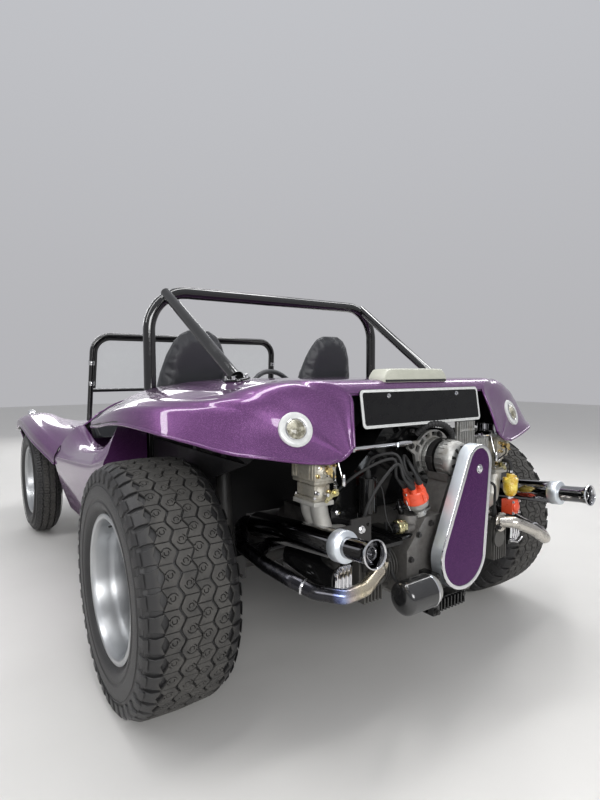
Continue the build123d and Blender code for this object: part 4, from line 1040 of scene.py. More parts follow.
# Each row: the tyre's own place and size, then the barrel's radius, the disc, the top of the cap and
# the section of hub and drum, measured outward from the middle of the wheel.
wheels = [("rear", rear_x, 0, rear_radius, rear_width, rear_bead, 184, -88, -56,
           [(0, -203), (117, -203), (118, -200), (118, -122), (108, -112), (58, -99), (0, -99)]),
          ("front", front_x, wheelbase, front_radius, front_width, front_bead, 173, -6, 36,
           [(0, -28), (56, -28), (100, -42), (100, -94), (116, -94), (116, -34), (108, -24), (56, -17),
            (0, -17)])]
for end, wheel_x, y, radius, width, bead_radius, dish, disc_x, cap_top, drum in wheels:
    polished = material(f"spun_aluminium_{end}", {"Metallic": 1.0}, turned_metal(
        (rear_axle + y) / 1000, radius / 1000))
    for side, word in hands:
        wheel = Piece(f"{end}_rim_{word}")
        at = axis_at((side * wheel_x, y, radius), (side, 0, 0), upward)
        wheel_rim(wheel, at, width / 2 - 22, bead_radius, dish, polished)
        centre = satin_steel if end == "rear" else polished
        disc_with_holes(wheel, at, [(34, disc_x), (60, disc_x), (88, disc_x + 14), (120, disc_x + 14),
                                    (154, disc_x + 14), (dish + 2, disc_x + 6)], 8, 121, 19, 6, centre)
        lathe(wheel, [(dish + 2, disc_x - 6), (dish - 1, disc_x - 6), (dish - 1, disc_x + 12),
                      (dish + 2, disc_x + 12)], centre, at, 96)
        lathe(wheel, [(44, disc_x - 12), (44, disc_x + 2), (36, disc_x + 8), (34, cap_top - 12),
                      (30, cap_top - 3), (20, cap_top), (0, cap_top + 0.5)], chrome, at, 48)
        lathe(wheel, [(0, disc_x - 12), (44, disc_x - 12)], satin_steel, at, 48)
        lathe(wheel, drum, satin_steel, at, 72)
        for circle, count, height, across, tall in ((52, 5, disc_x, 17, 12),
                                                    (dish - 14, 24, disc_x + 10, 7, 3)):
            spots = [(at @ Vector((u, v, height)), (side, 0, 0)) for u, v in ring_of(circle, count=count)]
            fasteners(wheel, spots, across, tall, chrome)
        valve = at @ Vector((dish + 8, 0, width / 2 - 48))
        tube(wheel, [valve, at @ Vector((dish - 6, 0, width / 2 - 40)),
                     at @ Vector((dish - 10, 0, width / 2 - 18))],
             [4.5, 4, 2.8], rubber, sides=12)
        done(wheel, f"{end}_wheel_{word}", [f"{end}_wheel_{word}"], sharp=32)


# Seats: high-backed bucket seats in grained black vinyl over foam on moulded shells, with piping
# round the edge and a sewn centre panel. Each rests on a painted steel base on the floor pan.
seat_x = 338
rail_x, rail_ends, rail_z = 150, (670, 1015), 298
leg_rows = (690, 1000)


def grained_vinyl(point):
    grain = cells(point, 520.0)
    fine = noise(point, 900.0, 3.0)
    sheen = noise(point, 7.0, 3.0)
    return {"Base Color": mix(sheen, (0.020, 0.021, 0.024), (0.036, 0.038, 0.043)),
            "Roughness": ramp(grain + sheen * 0.3, 0.0, 1.0, 0.28, 0.42),
            "Normal": bump(grain * 0.7 + fine * 0.3, 0.0007)}


vinyl = material("grained_vinyl", {}, grained_vinyl)
# Grey piping for the seats and stitching; on the dash edge the same grey stands in as a painted highlight.
grey_piping_and_dash_highlight = material("vinyl_piping_and_dash_highlight", {}, mottled(
    90.0, 3.0, (0.05, 0.05, 0.052), (0.10, 0.10, 0.10), (0.3, 0.7, 0.4, 0.6), (90.0, 3.0, 0.0003)))
# Each row: height up the back, y of its middle, half width, thickness, bolster rise
back_stations = [
    (352, 648, 176, 50, 0), (420, 636, 184, 66, 10), (520, 610, 186, 72, 24), (640, 582, 186, 76, 32),
    (760, 557, 186, 74, 30), (860, 537, 183, 68, 20), (960, 516, 168, 60, 8), (1040, 498, 145, 54, 2),
    (1090, 487, 121, 48, 0), (1124, 479, 92, 38, 0), (1144, 474, 54, 24, 0),
]
# Each row: y, top of the pad, half width, thickness, bolster rise
cushion_stations = [
    (636, 388, 150, 66, 4), (680, 388, 182, 84, 14), (760, 388, 190, 88, 24), (860, 394, 192, 92, 26),
    (960, 400, 192, 94, 20), (1030, 398, 186, 88, 8), (1060, 382, 160, 60, 0),
]


def pad_shape(piece, rows, finish, count=40):
    """A closed pad from rows of (centre, up, half width, thickness, bolster rise)."""
    made = []
    for centre, up, half, thick, rise in rows:
        row = []
        for n in range(count):
            a = 2 * pi * n / count
            u = cos(a)
            v = sin(a)
            x = half * (abs(u) ** 0.45) * (1 if u >= 0 else -1)
            side = abs(x) / half
            z = 0.5 * thick * (abs(v) ** 0.6) * (1 if v >= 0 else -1)
            if v > 0:
                z += rise * max(0.0, (side - 0.45) / 0.55) ** 2 * min(1.0, v * 3)
            row.append(Vector(centre) + Vector((x, 0, 0)) + Vector(up) * z)
        made.append(row)
    grid(piece, made, finish, wrap=True, caps=True)


def stuffed(piece, voxel=7.0, pressure=4.0, reach=14.0):
    """Foam pressed out under its cover: remeshed, blown up as cloth and held within a reach."""
    modified(piece, "REMESH", {"mode": "VOXEL", "voxel_size": voxel})
    data = bpy.data.meshes.new("pad")
    piece.mesh.transform(Matrix.Scale(0.001, 4))
    piece.mesh.to_mesh(data)
    pad = put("pad", data)
    cloth = pad.modifiers.new("cloth", "CLOTH")
    cloth.settings.use_pressure = True
    cloth.settings.uniform_pressure_force = pressure
    cloth.settings.effector_weights.gravity = 0
    cloth.settings.quality = 4
    cloth.settings.tension_stiffness = 25
    cloth.settings.compression_stiffness = 25
    scene = bpy.context.scene
    for number in range(1, 21):
        scene.frame_set(number)
    shape = pad.evaluated_get(bpy.context.evaluated_depsgraph_get()).to_mesh()
    for vert, swollen in zip(piece.mesh.verts, shape.vertices):
        move = swollen.co - vert.co
        if move.length > reach / 1000:
            move = move.normalized() * reach / 1000
        vert.co += move
    scene.frame_set(1)
    bpy.data.objects.remove(pad)
    bpy.data.meshes.remove(data)
    piece.mesh.transform(Matrix.Scale(1000, 4))
    bmesh.ops.smooth_vert(piece.mesh, verts=piece.mesh.verts, factor=0.5, use_axis_x=True, use_axis_y=True,
                          use_axis_z=True)
    modified(piece, "SUBSURF", {"levels": 1, "render_levels": 1})


def channel(piece, centre_line, width, depth, facing):
    """Sinks the cover along a seam."""
    for vert in piece.mesh.verts:
        if vert.normal.dot(facing) < 0.2:
            continue
        nearest = min((vert.co - p).length for p in centre_line)
        if nearest < width:
            vert.co -= vert.normal * depth * cos(0.5 * pi * nearest / width) ** 2


back_shape, cushion_shape = Piece("back"), Piece("cushion")
lean = Vector((0, 0.985, 0.17))
back_rows = [((0, y, z), lean, half - 8, thick - 12, rise) for z, y, half, thick, rise in back_stations]
cushion_rows = [((0, y, top - thick / 2), upward, half - 8, thick - 14, rise)
                for y, top, half, thick, rise in cushion_stations]
pad_shape(back_shape, back_rows, vinyl)
pad_shape(cushion_shape, cushion_rows, vinyl)
for shape in (back_shape, cushion_shape):
    stuffed(shape)
    shape.mesh.normal_update()
smooth_back = spline(back_stations, 10)
smooth_cushion = spline(cushion_stations, 10)
for sign in (-1, 1):
    seam = [Vector((sign * min(104, half * 0.62), y + 0.5 * thick, z + 0.09 * thick))
            for z, y, half, thick, rise in smooth_back if 420 < z < 1060]
    channel(back_shape, seam, 11, 7, lean)
    seam = [Vector((sign * 108, y, top)) for y, top, half, thick, rise in smooth_cushion if 690 < y < 1030]
    channel(cushion_shape, seam, 11, 7, Vector(upward))
for z in (700, 1060):
    y = [row for row in smooth_back if row[0] <= z][-1]
    seam = [Vector((x, y[1] + 0.5 * y[3], z)) for x in range(-100, 101, 8)]
    channel(back_shape, seam, 10, 6, lean)
for y in (800, 910):
    seam = [Vector((x, y, 396)) for x in range(-104, 105, 8)]
    channel(cushion_shape, seam, 10, 6, Vector(upward))
cushion_line = [Vector((sign * (half - 1), y, top - thick / 2 + 4)) for sign, rows in
                ((-1, smooth_cushion), (1, smooth_cushion[::-1])) for y, top, half, thick, rise in rows]
for side, word in hands:
    for name, shape in (("back", back_shape), ("cushion", cushion_shape)):
        pad = Piece(f"seat_{name}_{word}")
        base_at = Matrix.Translation((side * seat_x, 0, 0))
        absorb(pad, shape.mesh.copy(), vinyl, base_at)
        if name == "cushion":
            tube(pad, [base_at @ p for p in cushion_line], 4.2, grey_piping_and_dash_highlight, sides=8, closed=True)
            rails = [[(x, y) for y in rail_ends] for x in (-rail_x, rail_x)]
            rails += [[(x, y) for x in (-rail_x, rail_x)] for y in leg_rows]
            for (x0, y0), (x1, y1) in rails:
                for z in (pan_top + 12, rail_z):
                    tube(pad, [base_at @ Vector((x0, y0, z)), base_at @ Vector((x1, y1, z))],
                         12, satin_steel, sides=16)
            for x, y in [(x, y) for y in leg_rows for x in (-rail_x, rail_x)]:
                tube(pad, [base_at @ Vector((x, y, pan_top)), base_at @ Vector((x, y, rail_z + 4))],
                     12, satin_steel)
        made = done(pad, "root", [f"seat_{word}"], sharp=60)
for shape in (back_shape, cushion_shape):
    shape.mesh.free()


# Dashboard: a padded roll of black vinyl under the scuttle with a bead along its edge, whose lighter grey
# is a painted highlight on the padded edge, and round instruments behind the wheel.
def dash_row(y, inset):
    half = folded([(0, 842 - inset), (414 - inset, 812 - inset), (566 - inset, 708 - inset * 0.6),
                   (545 - inset, 624 + inset)], (120, 30, 20), (2, 2, 0), run=4, arc=5)
    return both_sides(half, y)


dash = Piece("dashboard_roll")
dash_front, dash_rear = 1339, 1270
sections = [(dash_front, 1), (dash_rear + 14, 1), (dash_rear + 4, 4), (dash_rear, 12), (dash_rear + 2, 24)]
underside = (500, 300, 100, -100, -300, -500)
dash_rows = [dash_row(y, inset) + [(x, y, 628) for x in underside] for y, inset in sections]
grid(dash, dash_rows, vinyl, wrap=True, caps=True)
# The bead's lighter grey along the dash edge is a painted highlight on the padded roll.
tube(dash, [(x, y - 2.5, z) for x, y, z in dash_row(dash_rear + 2, 17)], 3.2, grey_piping_and_dash_highlight, sides=10)


def dial_face(point):
    return {"Base Color": mix(noise(point, 50.0), (0.01, 0.01, 0.01), (0.02, 0.02, 0.02)),
            "Roughness": ramp(noise(point, 90.0), 0.3, 0.7, 0.25, 0.4)}


dial = material("instrument_face", {"Coat Weight": 1.0}, dial_face)
instruments = [(338, 742, 52), (214, 752, 30), (462, 738, 30), (120, 762, 26)]
for x, z, radius in instruments:
    at = axis_at((x, dash_rear, z), rearward)
    lathe(dash, [(radius + 4, -6), (radius + 4, 4), (radius + 2, 7), (radius - 1, 6), (radius - 2, 3),
                 (0, 2.5)], chrome, at, 40)
    lathe(dash, [(0, 3.2), (radius - 3, 3.2)], dial, at, 40)
    needle = axis_at((x, dash_rear - 4.4, z), rearward)
    tube(dash, [needle @ Vector((0, 0, 0)), needle @ Vector((0.6 * radius, -0.5 * radius, 0))], [1.8, 0.8],
         grey_piping_and_dash_highlight, sides=6)
made = done(dash, "root", ["dashboard"], sharp=40)


# Steering wheel: a rim bound in stitched leather on three drilled alloy spokes, with a hub on the
# column's end under a domed button.
column_top = Vector((338, 960, 800))
column_foot = Vector((182, wheelbase - 45, 470))
wheel_at = axis_at(column_top, column_top - column_foot, (1, 0, 0))
steering = Piece("steering_wheel_dressed")
rim_radius = 172
rim_path = [wheel_at @ Vector((u, v, 0)) for u, v in ring_of(rim_radius, count=72)]
tube(steering, rim_path, 13.5, vinyl, sides=16, closed=True)
stitch = Piece("stitch")
stitch_path = [(rim_radius - 13.6, -2.2, -2.4), (rim_radius - 13.9, 0, 0), (rim_radius - 13.6, 2.2, 2.4)]
tube(stitch, stitch_path, 0.8, grey_piping_and_dash_highlight, sides=6)
bmesh.ops.transform(stitch.mesh, matrix=wheel_at.to_3x3().to_4x4(), verts=stitch.mesh.verts)
around(steering, stitch, 120, tuple(wheel_at.translation),
       tuple(wheel_at.to_3x3() @ Vector(upward)), grey_piping_and_dash_highlight)
for angle in (-90, 30, 150):
    spoke_at = wheel_at @ Matrix.Rotation(radians(angle), 4, "Z")
    outline = [(24, -15), (60, -13), (120, -11), (rim_radius - 6, -14), (rim_radius - 6, 14), (120, 11),
               (60, 13), (24, 15)]
    holes = [ring_of(r, (x, 0), 20) for r, x in ((7, 62), (6, 92), (5, 120))]
    cut_sheet(steering, outline, holes, 4, chrome, spoke_at @ Matrix.Translation((0, 0, -8)))
lathe(steering, [(30, -39), (30, 4), (34, 6), (34, 9), (28, 12), (12, 15), (0, 15.5)],
      satin_steel, wheel_at, 48)
done(steering, "steering_wheel", ["steering_wheel"], sharp=40)


# Rear lamps: round lamps with a wide white bezel and a small fluted lens over the bulb, screwed to
# the rear panels from behind.
def fluted_lens(inner, outer):
    def varied(point):
        spark = cells(point, 210.0)
        tint = noise(point, 46.0, 2.0)
        return {"Base Color": mix(ramp(tint, 0.4, 0.62), inner, outer),
                "Roughness": ramp(spark, 0.0, 0.6, 0.06, 0.22),
                "Normal": bump(spark, 0.0016)}
    return varied


white_plastic = material("white_bezel", {"Coat Weight": 0.5}, mottled(
    60.0, 3.0, (0.52, 0.53, 0.52), (0.60, 0.61, 0.60), (0.3, 0.7, 0.2, 0.34)))
smoked_lens = material("smoked_lens", {"Coat Weight": 1.0, "Coat Roughness": 0.03},
                       fluted_lens((0.12, 0.11, 0.07), (0.42, 0.40, 0.31)))
clear_lens = material("clear_lens", {"Coat Weight": 1.0, "Coat Roughness": 0.02},
                      fluted_lens((0.40, 0.41, 0.42), (0.48, 0.49, 0.50)))
lamp_place = (467, -392, 813)
lamp_faces = (0.22, -0.915, 0.344)
lamps = Piece("rear_lamp_pair")
for side in (-1, 1):
    x, y, z = lamp_place
    way = (side * lamp_faces[0], lamp_faces[1], lamp_faces[2])
    at = axis_at((side * x, y, z), way, upward)
    lathe(lamps, [(44, -14), (46.5, 6), (46, 10.5), (43.5, 12.6), (34, 13.4), (29, 12), (27, 8)],
          white_plastic, at, 64)
    lathe(lamps, [(27.5, 8), (26, 12.5), (21, 17), (13, 19.6), (5, 20.4), (0, 20.6)], smoked_lens, at, 64)
    lathe(lamps, [(27.2, 11.0), (28.6, 13.2), (27, 14.2), (25.4, 12.6)], chrome, at, 64)
done(lamps, "root", ["rear_lamps"])


# Headlamps: chrome bezels with clips round domed, fluted glass, set in the front panels; and a small
# chrome side lamp on each front wing.
headlamp = (585, 556)
heads = Piece("headlamp_pair")
for side in (-1, 1):
    at = axis_at((side * headlamp[0], clip_front, headlamp[1]), (0, 1, 0), upward)
    lathe(heads, [(78, -58), (80, -20), (80, 2)], chrome, at, 64)
    lathe(heads, [(88, 0), (88.5, 6), (85, 12), (77, 14.5), (72, 12), (71, 8)], chrome, at, 72)
    lathe(heads, [(74, 9), (70, 15), (56, 19.5), (34, 22.5), (12, 23.8), (0, 24)], clear_lens, at, 64)
    lathe(heads, [(0, -58), (78, -58)], chrome, at, 64)
done(heads, "root", ["headlamps"])

side_lamps = Piece("front_side_lamps")
for side in (-1, 1):
    at = axis_at((side * 680, clip_front - 52, 690), (side * 0.12, 0.35, 1), (0, 1, 0))
    lathe(side_lamps, [(26, -14), (27, 0), (24, 8), (20, 12)], chrome, at, 40)
    lathe(side_lamps, [(21, 10), (18, 18), (10, 23), (0, 24.5)], clear_lens, at, 40)
done(side_lamps, "root")


# Deck lamp: a cream moulded housing on a rubber seal along the back of the deck, screwed down, with
# its lamps facing down on the plate.
cream = material("cream_moulding", {"Coat Weight": 0.25}, mottled(
    30.0, 5.0, (0.40, 0.41, 0.34), (0.50, 0.50, 0.43), (0.3, 0.7, 0.28, 0.46), (300.0, 2.0, 0.0002)))
deck_lamp = Piece("deck_lamp_box")
lamp_rows = []
for y, inset in ((-381, 9), (-379, 3), (-374, 0), (-330, 0), (-314, 1), (-309, 8)):
    half = folded([(0, 972 - inset), (122 - inset, 971 - inset), (142 - inset, 944), (142 - inset, 912)],
                  (10, 9, 4), (1, 0.5, 0), run=3, arc=4)
    foot = 941.5 if y > -372 else 930
    lamp_rows.append([(x, place, z if z > 943 else foot if y > -372 or z < 920 else z)
                      for x, place, z in both_sides(half, y)])
grid(deck_lamp, lamp_rows, cream, caps=True)
tube(deck_lamp, [(x, -382, 936) for x in range(-134, 135, 12)], 3.4, rubber, sides=10)
done(deck_lamp, "root", ["deck_lamp"])


# Number plate: a pressed aluminium plate painted black with a narrow white border, left blank, and
# held by two screws near its top edge.
plate_paint = material("plate_black", {"Specular IOR Level": 0.2}, mottled(
    30.0, 3.0, (0.005, 0.005, 0.006), (0.010, 0.010, 0.010), (0.3, 0.7, 0.24, 0.36)))
plate_half, plate_height, plate_lean = 260, 111, radians(9)
plate = Piece("number_plate_blank")
plate_at = (Matrix.Translation((0, -405.3, 903)) @ Matrix.Rotation(-plate_lean, 4, "X")
            @ Matrix.Translation((0, -3, 10 - plate_height / 2)) @ Matrix.Rotation(radians(90), 4, "X"))


def rounded(half_x, half_y, corner, count=8):
    made = []
    for cx, cy, start in ((1, 1, 0), (-1, 1, 90), (-1, -1, 180), (1, -1, 270)):
        for n in range(count + 1):
            a = radians(start + 90 * n / count)
            made.append((cx * (half_x - corner) + corner * cos(a), cy * (half_y - corner) + corner * sin(a)))
    return made


half_h = plate_height / 2
# Each level: how far inside the edge, corner radius, height, finish.
levels = [(0, 14, -3.0, plate_paint), (0, 14, -0.6, plate_paint), (1, 13, 0, plate_paint),
          (5, 10, 0, white_plastic), (6, 9.5, 1.1, white_plastic), (9, 8, 1.1, white_plastic),
          (10, 7.5, 0, plate_paint)]
rows = [[(x, y, z) for x, y in rounded(plate_half - inset, half_h - inset, corner)]
        for inset, corner, z, _ in levels]
for first, second, level in zip(rows, rows[1:], levels[1:]):
    grid(plate, [first, second], level[3], plate_at, wrap=True)
for row in (rows[0], rows[-1]):
    face = plate.mesh.faces.new([plate.mesh.verts.new(plate_at @ Vector(p)) for p in row])
    face.material_index = plate.index(plate_paint)
fasteners(plate,
          [(plate_at @ Vector((side * 150, half_h - 20, 0)), rearward) for side in (-1, 1)], 8, 4, chrome)
done(plate, "root", ["number_plate"], sharp=30)


# Engine case, barrels, tinware and gearbox keep their solids; here they get screws, studs and the
# pressed beads of the tinware.
def block(piece, low, high, finish, bevel=2.0, at=Matrix()):
    """A cast or machined block with rounded edges, between two corners."""
    work = bmesh.new()
    bmesh.ops.create_cube(work, size=1)
    for vert in work.verts:
        vert.co = Vector([a if c < 0 else b for a, b, c in zip(low, high, vert.co)])
    if bevel:
        bmesh.ops.bevel(work, geom=work.edges[:], offset=bevel, segments=2, profile=0.7, affect="EDGES")
    absorb(piece, work, finish, at)


case_alloy = material("case_alloy", {}, casting(
    520.0, (16.0, 0.4, 0.7), 90.0, (0.15, 0.145, 0.135), (0.25, 0.24, 0.23), (0.035, 0.03, 0.025), 0.8,
    (0.7, 0.2), (1.0, 0.3), (0.3, 1.0, 0.42, 0.68), 0.0008))
# Also the black on the rocker covers' sides, where it is painted shade on covers that are really bright.
black_tin_and_cover_shade = material("tinware_black_and_cover_shade", {"Coat Weight": 0.25, "Specular IOR Level": 0.3}, gloss_black)
zinc = material("yellow_zinc", {"Metallic": 1.0}, mottled(
    130.0, 3.0, (0.46, 0.41, 0.20), (0.58, 0.54, 0.34), (0.3, 0.7, 0.18, 0.36)))
alternator_x, alternator_z = 60, 697
dressing = Piece("case_screws")
case_screws = [((x, -500, z), rearward) for x, z in ((-150, 350), (-150, 440), (-120, 505), (-70, 530),
                                                     (120, 505), (150, 440), (150, 350), (-60, 310))]
fasteners(dressing, case_screws, 11, 7, satin_steel)
tin_screws = [((side * x, -345, z), rearward) for side in (-1, 1)
              for x, z in ((286, 520), (286, 560), (150, 575), (190, 610))]
fasteners(dressing, tin_screws, 9, 5, chrome)
for side in (-1, 1):
    bead = bent_path([(side * 196, -346, 578), (side * 196, -346, 640), (side * 132, -346, 716)], 18)
    tube(dressing, bead, 2.6, black_tin_and_cover_shade, sides=10)
    tube(dressing, bent_path([(side * 270, -346, 512), (side * 212, -346, 512), (side * 212, -346, 548)],
                             12), 2.6, black_tin_and_cover_shade, sides=10)
for low_x, high_x in ((-172, -120), (120, 172)):
    block(dressing, (low_x, -489, 497), (high_x, -347, 506), black_tin_and_cover_shade, 2)
hose = spline([(-148, -400, 520), (-176, -440, 470), (-190, -470, 400), (-150, -480, 340)], 8)
tube(dressing, hose, 5.5, rubber, sides=10)
wire = spline([(-196, -478, 520), (-214, -470, 560), (-206, -440, 640), (-212, -412, 664)], 8)
tube(dressing, wire, 1.6, rubber, sides=8)
done(dressing, "root")


# Alternator: two cast end frames round a dark laminated stator, finned and slotted, held by a
# strap on its stand and by a cast bracket with open windows.
alternator = Piece("alternator_dressed")
at = axis_at((alternator_x, -372, alternator_z), rearward, upward)
lathe(alternator, [(0, 0), (46, 0), (54, 4), (57, 12), (57, 40), (55.5, 41)], cast_metal, at, 60)
stator_iron = material("stator_iron", {"Metallic": 0.6}, dark_steel)
lathe(alternator, [(55.5, 41), (53.5, 42), (53.5, 74), (55.5, 75)], stator_iron, at, 60)
lathe(alternator, [(55.5, 75), (57.5, 76), (57.5, 108), (54, 122), (46, 130), (34, 133), (22, 133)],
      cast_metal, at, 60)


def ribbed(piece, rows, count, at, axis, finish):
    """A closed rib or slot, made in a placing and repeated round its axis."""
    unit = Piece("rib")
    grid(unit, rows, finish, at=at.to_3x3().to_4x4(), wrap=True, caps=True)
    around(piece, unit, count, tuple(at.translation), axis, finish)


for low_r, high_r, low_s, high_s, low_z, high_z, count, finish in (
        (54, 59.4, 1.6, 1.2, 14, 38, 22, cast_metal), (54, 59.8, 1.6, 1.2, 79, 105, 22, cast_metal),
        (28, 44, 3.2, 4.6, 125, 133.2, 10, satin_steel)):
    corners = [(low_r, -low_s), (high_r, -high_s), (high_r, high_s), (low_r, low_s)]
    ribbed(alternator, [[(r, s, z) for r, s in corners] for z in (low_z, high_z)],
           count, at, rearward, finish)
lathe(alternator, [(24, 128), (24, 136), (20, 138), (18, 152.5), (0, 152.5)], chrome, at, 40)
strap_at = axis_at((alternator_x, -430, alternator_z), rearward, upward)
lathe(alternator, [(58.6, -9), (60.4, -9), (60.4, 9), (58.6, 9)], satin_steel, strap_at, 60)
block(alternator, (alternator_x - 64, -441, alternator_z - 10),
      (alternator_x - 57, -419, alternator_z + 10), satin_steel, 1.5)
tube(alternator, [(alternator_x, -345, alternator_z), (alternator_x, -373, alternator_z)],
     30, case_alloy, sides=32)
polished_cast = material("fettled_aluminium", {}, grey_casting)
flange_at = Matrix.Translation((alternator_x, -396, alternator_z)) @ Matrix(
    ((1, 0, 0, 0), (0, 0, 1, 0), (0, 1, 0, 0), (0, 0, 0, 1)))


def polar(radius, degrees):
    return (radius * cos(radians(degrees)), radius * sin(radians(degrees)))


flange = [polar(84, a) for a in range(40, 150, 10)] + [polar(112, 152), polar(120, 158), polar(116, 164)]
flange += [polar(84, 172), polar(80, 190), polar(80, 215), polar(60, 222)]
flange += [polar(60, a) for a in range(210, 30, -10)]
windows = [[polar(65, a + 4), polar(78, a + 4), polar(78, a + 20), polar(65, a + 20)]
           for a in (50, 75, 100, 125, 184)]
windows.append([polar(70, 150), polar(88, 150), polar(86, 163), polar(70, 167)])
cut_sheet(alternator, flange, windows, 11, polished_cast, flange_at)
lathe(alternator, [(60, -2), (63, -2), (63, 16), (60, 16)], polished_cast,
      axis_at((alternator_x, -383, alternator_z), rearward), 60)
fasteners(alternator, [(flange_at @ Vector((*polar(108, 158), 0)), rearward),
                       (flange_at @ Vector((*polar(72, 70), 0)), rearward)], 12, 7, satin_steel)
loop = spline([(-8, -388, 772), (8, -420, 800), (52, -440, 800), (86, -446, 770), (96, -430, 740),
               (112, -400, 700)], 10)
tube(alternator, loop, 9, rubber, sides=16)
for p, q in list(zip(loop, loop[1:]))[::2]:
    way = Vector(q) - Vector(p)
    lathe(alternator, [(9, -1.6), (10.6, 0), (9, 1.6)], rubber, axis_at(p, way), 16)
done(alternator, "root", ["alternator"])


# Belt guard: a pear-shaped band of folded aluminium with bright edges, round a recessed metalflake
# face that one domed nut holds; the face is a darker copy of the body's metalflake, painted shade for
# its recess. The belt and both pulleys are behind it.
def brushed(point):
    x, y, z = axes(point)
    track = point.node("ShaderNodeCombineXYZ", {}, {"X": x * 2.0, "Y": y * 60.0, "Z": z * 2.0})
    lines = track.node("ShaderNodeTexNoise", {}, {"Vector": track, "Scale": 14.0, "Detail": 3.0}, "Fac")
    return {"Base Color": mix(lines, (0.64, 0.68, 0.72), (0.70, 0.74, 0.78)),
            "Roughness": ramp(lines, 0.3, 0.7, 0.34, 0.44),
            "Normal": bump(lines, 0.00008)}


# A darker, duller copy of the body's metalflake: the extra darkness is painted shade on the recessed face.
purple_in_painted_shade = material("purple_metalflake_painted_shade", {
    "Coat Weight": 0.12, "Coat Roughness": 0.05, "Specular IOR Level": 0.25}, metalflake(
    (0.040, 0.004, 0.062), (0.064, 0.008, 0.088), (0.26, 0.09, 0.28), 0.5, (0.74, 0.97), (0.34, 0.48),
    (0.5, 0.8)))
brushed_aluminium = material("brushed_aluminium", {"Metallic": 0.9}, brushed)
guard_lower, guard_upper, guard_rear, guard_front, guard_z = 98, 55, -567, -527, 440
guard_x, guard_top = 65, 698


def pear_row(inset, y, arc=24):
    """A closed row round two circles and their common tangents, leaning from crank to alternator."""
    low, high = guard_lower - inset, guard_upper - inset
    span = hypot(guard_x, guard_top - guard_z)
    upright = pi / 2 - atan2(guard_x, guard_top - guard_z)
    flank = acos((low - high) / span)
    made = []
    for n in range(arc + 1):
        a = upright - flank + 2 * flank * n / arc
        made.append((guard_x + high * cos(a), y, guard_top + high * sin(a)))
    for n in range(2 * arc + 1):
        a = upright + flank + (2 * pi - 2 * flank) * n / (2 * arc)
        made.append((low * cos(a), y, guard_z + low * sin(a)))
    return made


guard = Piece("belt_guard_band")
levels = [(0, guard_front), (0, guard_rear + 5), (0.4, guard_rear + 2), (1.4, guard_rear + 0.3),
          (3, guard_rear), (9, guard_rear), (10.8, guard_rear + 0.5), (11.8, guard_rear + 2),
          (12, guard_rear + 6.2)]
for first, second in zip(levels, levels[1:]):
    band = brushed_aluminium if second[0] < 0.3 else chrome
    grid(guard, [pear_row(*first), pear_row(*second)], band, wrap=True)
grid(guard, [pear_row(0, guard_front), pear_row(20, guard_front)], brushed_aluminium, wrap=True)
grid(guard, [pear_row(20, guard_front), pear_row(20, guard_front - 12)], brushed_aluminium, wrap=True)
cover = guard.mesh.faces.new([guard.mesh.verts.new(p) for p in pear_row(20, guard_front - 12)])
cover.material_index = guard.index(satin_steel)
done(guard, "root", ["belt_guard"], sharp=30)
face_plate = Piece("belt_guard_face_plate")
rows = [pear_row(12.3, guard_rear + 6), pear_row(12.3, guard_rear + 3), pear_row(13, guard_rear + 2.2)]
grid(face_plate, rows, purple_in_painted_shade, wrap=True)
for row in (rows[0], rows[-1]):
    face_plate.mesh.faces.new([face_plate.mesh.verts.new(p) for p in row])
at = axis_at((guard_x - 3, guard_rear + 2, guard_top - 16), rearward)
lathe(face_plate, [(13, 0), (13, 1.2), (11, 1.6), (9.6, 5), (6, 7.4), (0, 8.4)], chrome, at, 32)
done(face_plate, "root", ["belt_guard_face"], sharp=30)


# Breather: a finned cast tower on a black filler neck, with a small finned box on a pale bracket
# beside it and a rubber hose between the two.
def leaf_fins(piece, low, high, count, along, size, finish):
    """Thin fins between two corners, spread along one axis."""
    for n in range(count):
        a, b = list(low), list(high)
        middle = low[along] + (high[along] - low[along]) * (n + 0.5) / count
        a[along], b[along] = middle - size / 2, middle + size / 2
        block(piece, a, b, finish, size * 0.3)


breather = Piece("finned_breather")
tube(breather, bent_path([(84, -462, 550.5), (84, -462, 608), (170, -414, 704)], 30), 17, black_tin_and_cover_shade, sides=28)
lathe(breather, [(20, 0), (21, 3), (21, 14), (17.5, 17)], chrome, axis_at((84, -462, 552)), 32)
block(breather, (149, -417, 690), (231, -406, 806), polished_cast, 4)
leaf_fins(breather, (150, -425, 694), (230, -416, 802), 9, 0, 4, polished_cast)
block(breather, (152, -424, 770), (228, -405, 778), polished_cast, 2)
block(breather, (236, -428, 716), (300, -402, 742), polished_cast, 5)
leaf_fins(breather, (240, -431, 713), (296, -399, 745), 6, 0, 4, polished_cast)
tube(breather, bent_path([(228, -412, 729), (246, -412, 729)], 5), 8, rubber, sides=16)
block(breather, (244, -424, 664), (296, -402, 698), white_plastic, 9)
tube(breather, [(270, -412, 696), (270, -412, 718)], 6, chrome, sides=16)
fasteners(breather, [((160, -418, 696), rearward), ((220, -418, 696), rearward),
                     ((268, -424, 681), rearward)], 9, 5, chrome)
done(breather, "root", ["oil_filler"])


# Oil pressure sender: a zinc-plated hexagon and can with a black terminal, screwed into a boss of
# the crankcase.
sender = Piece("oil_sender_dressed")
at = axis_at((-152, -478, 532), (-1, 0, 0), upward)
lathe(sender, [(0, 0), (16, 0), (17, 2), (17, 9), (15, 11)], zinc, at, 6)
lathe(sender, [(15, 10), (19, 12), (20, 15), (20, 31), (18, 34.5), (15, 35)], zinc, at, 40)
lathe(sender, [(15, 34), (15, 43), (12, 46), (4, 47), (0, 47)], black_tin_and_cover_shade, at, 32)
lathe(sender, [(20.2, 17), (20.8, 18), (20.8, 20), (20.2, 21)], zinc, at, 40)
done(sender, "root", ["oil_sender"])


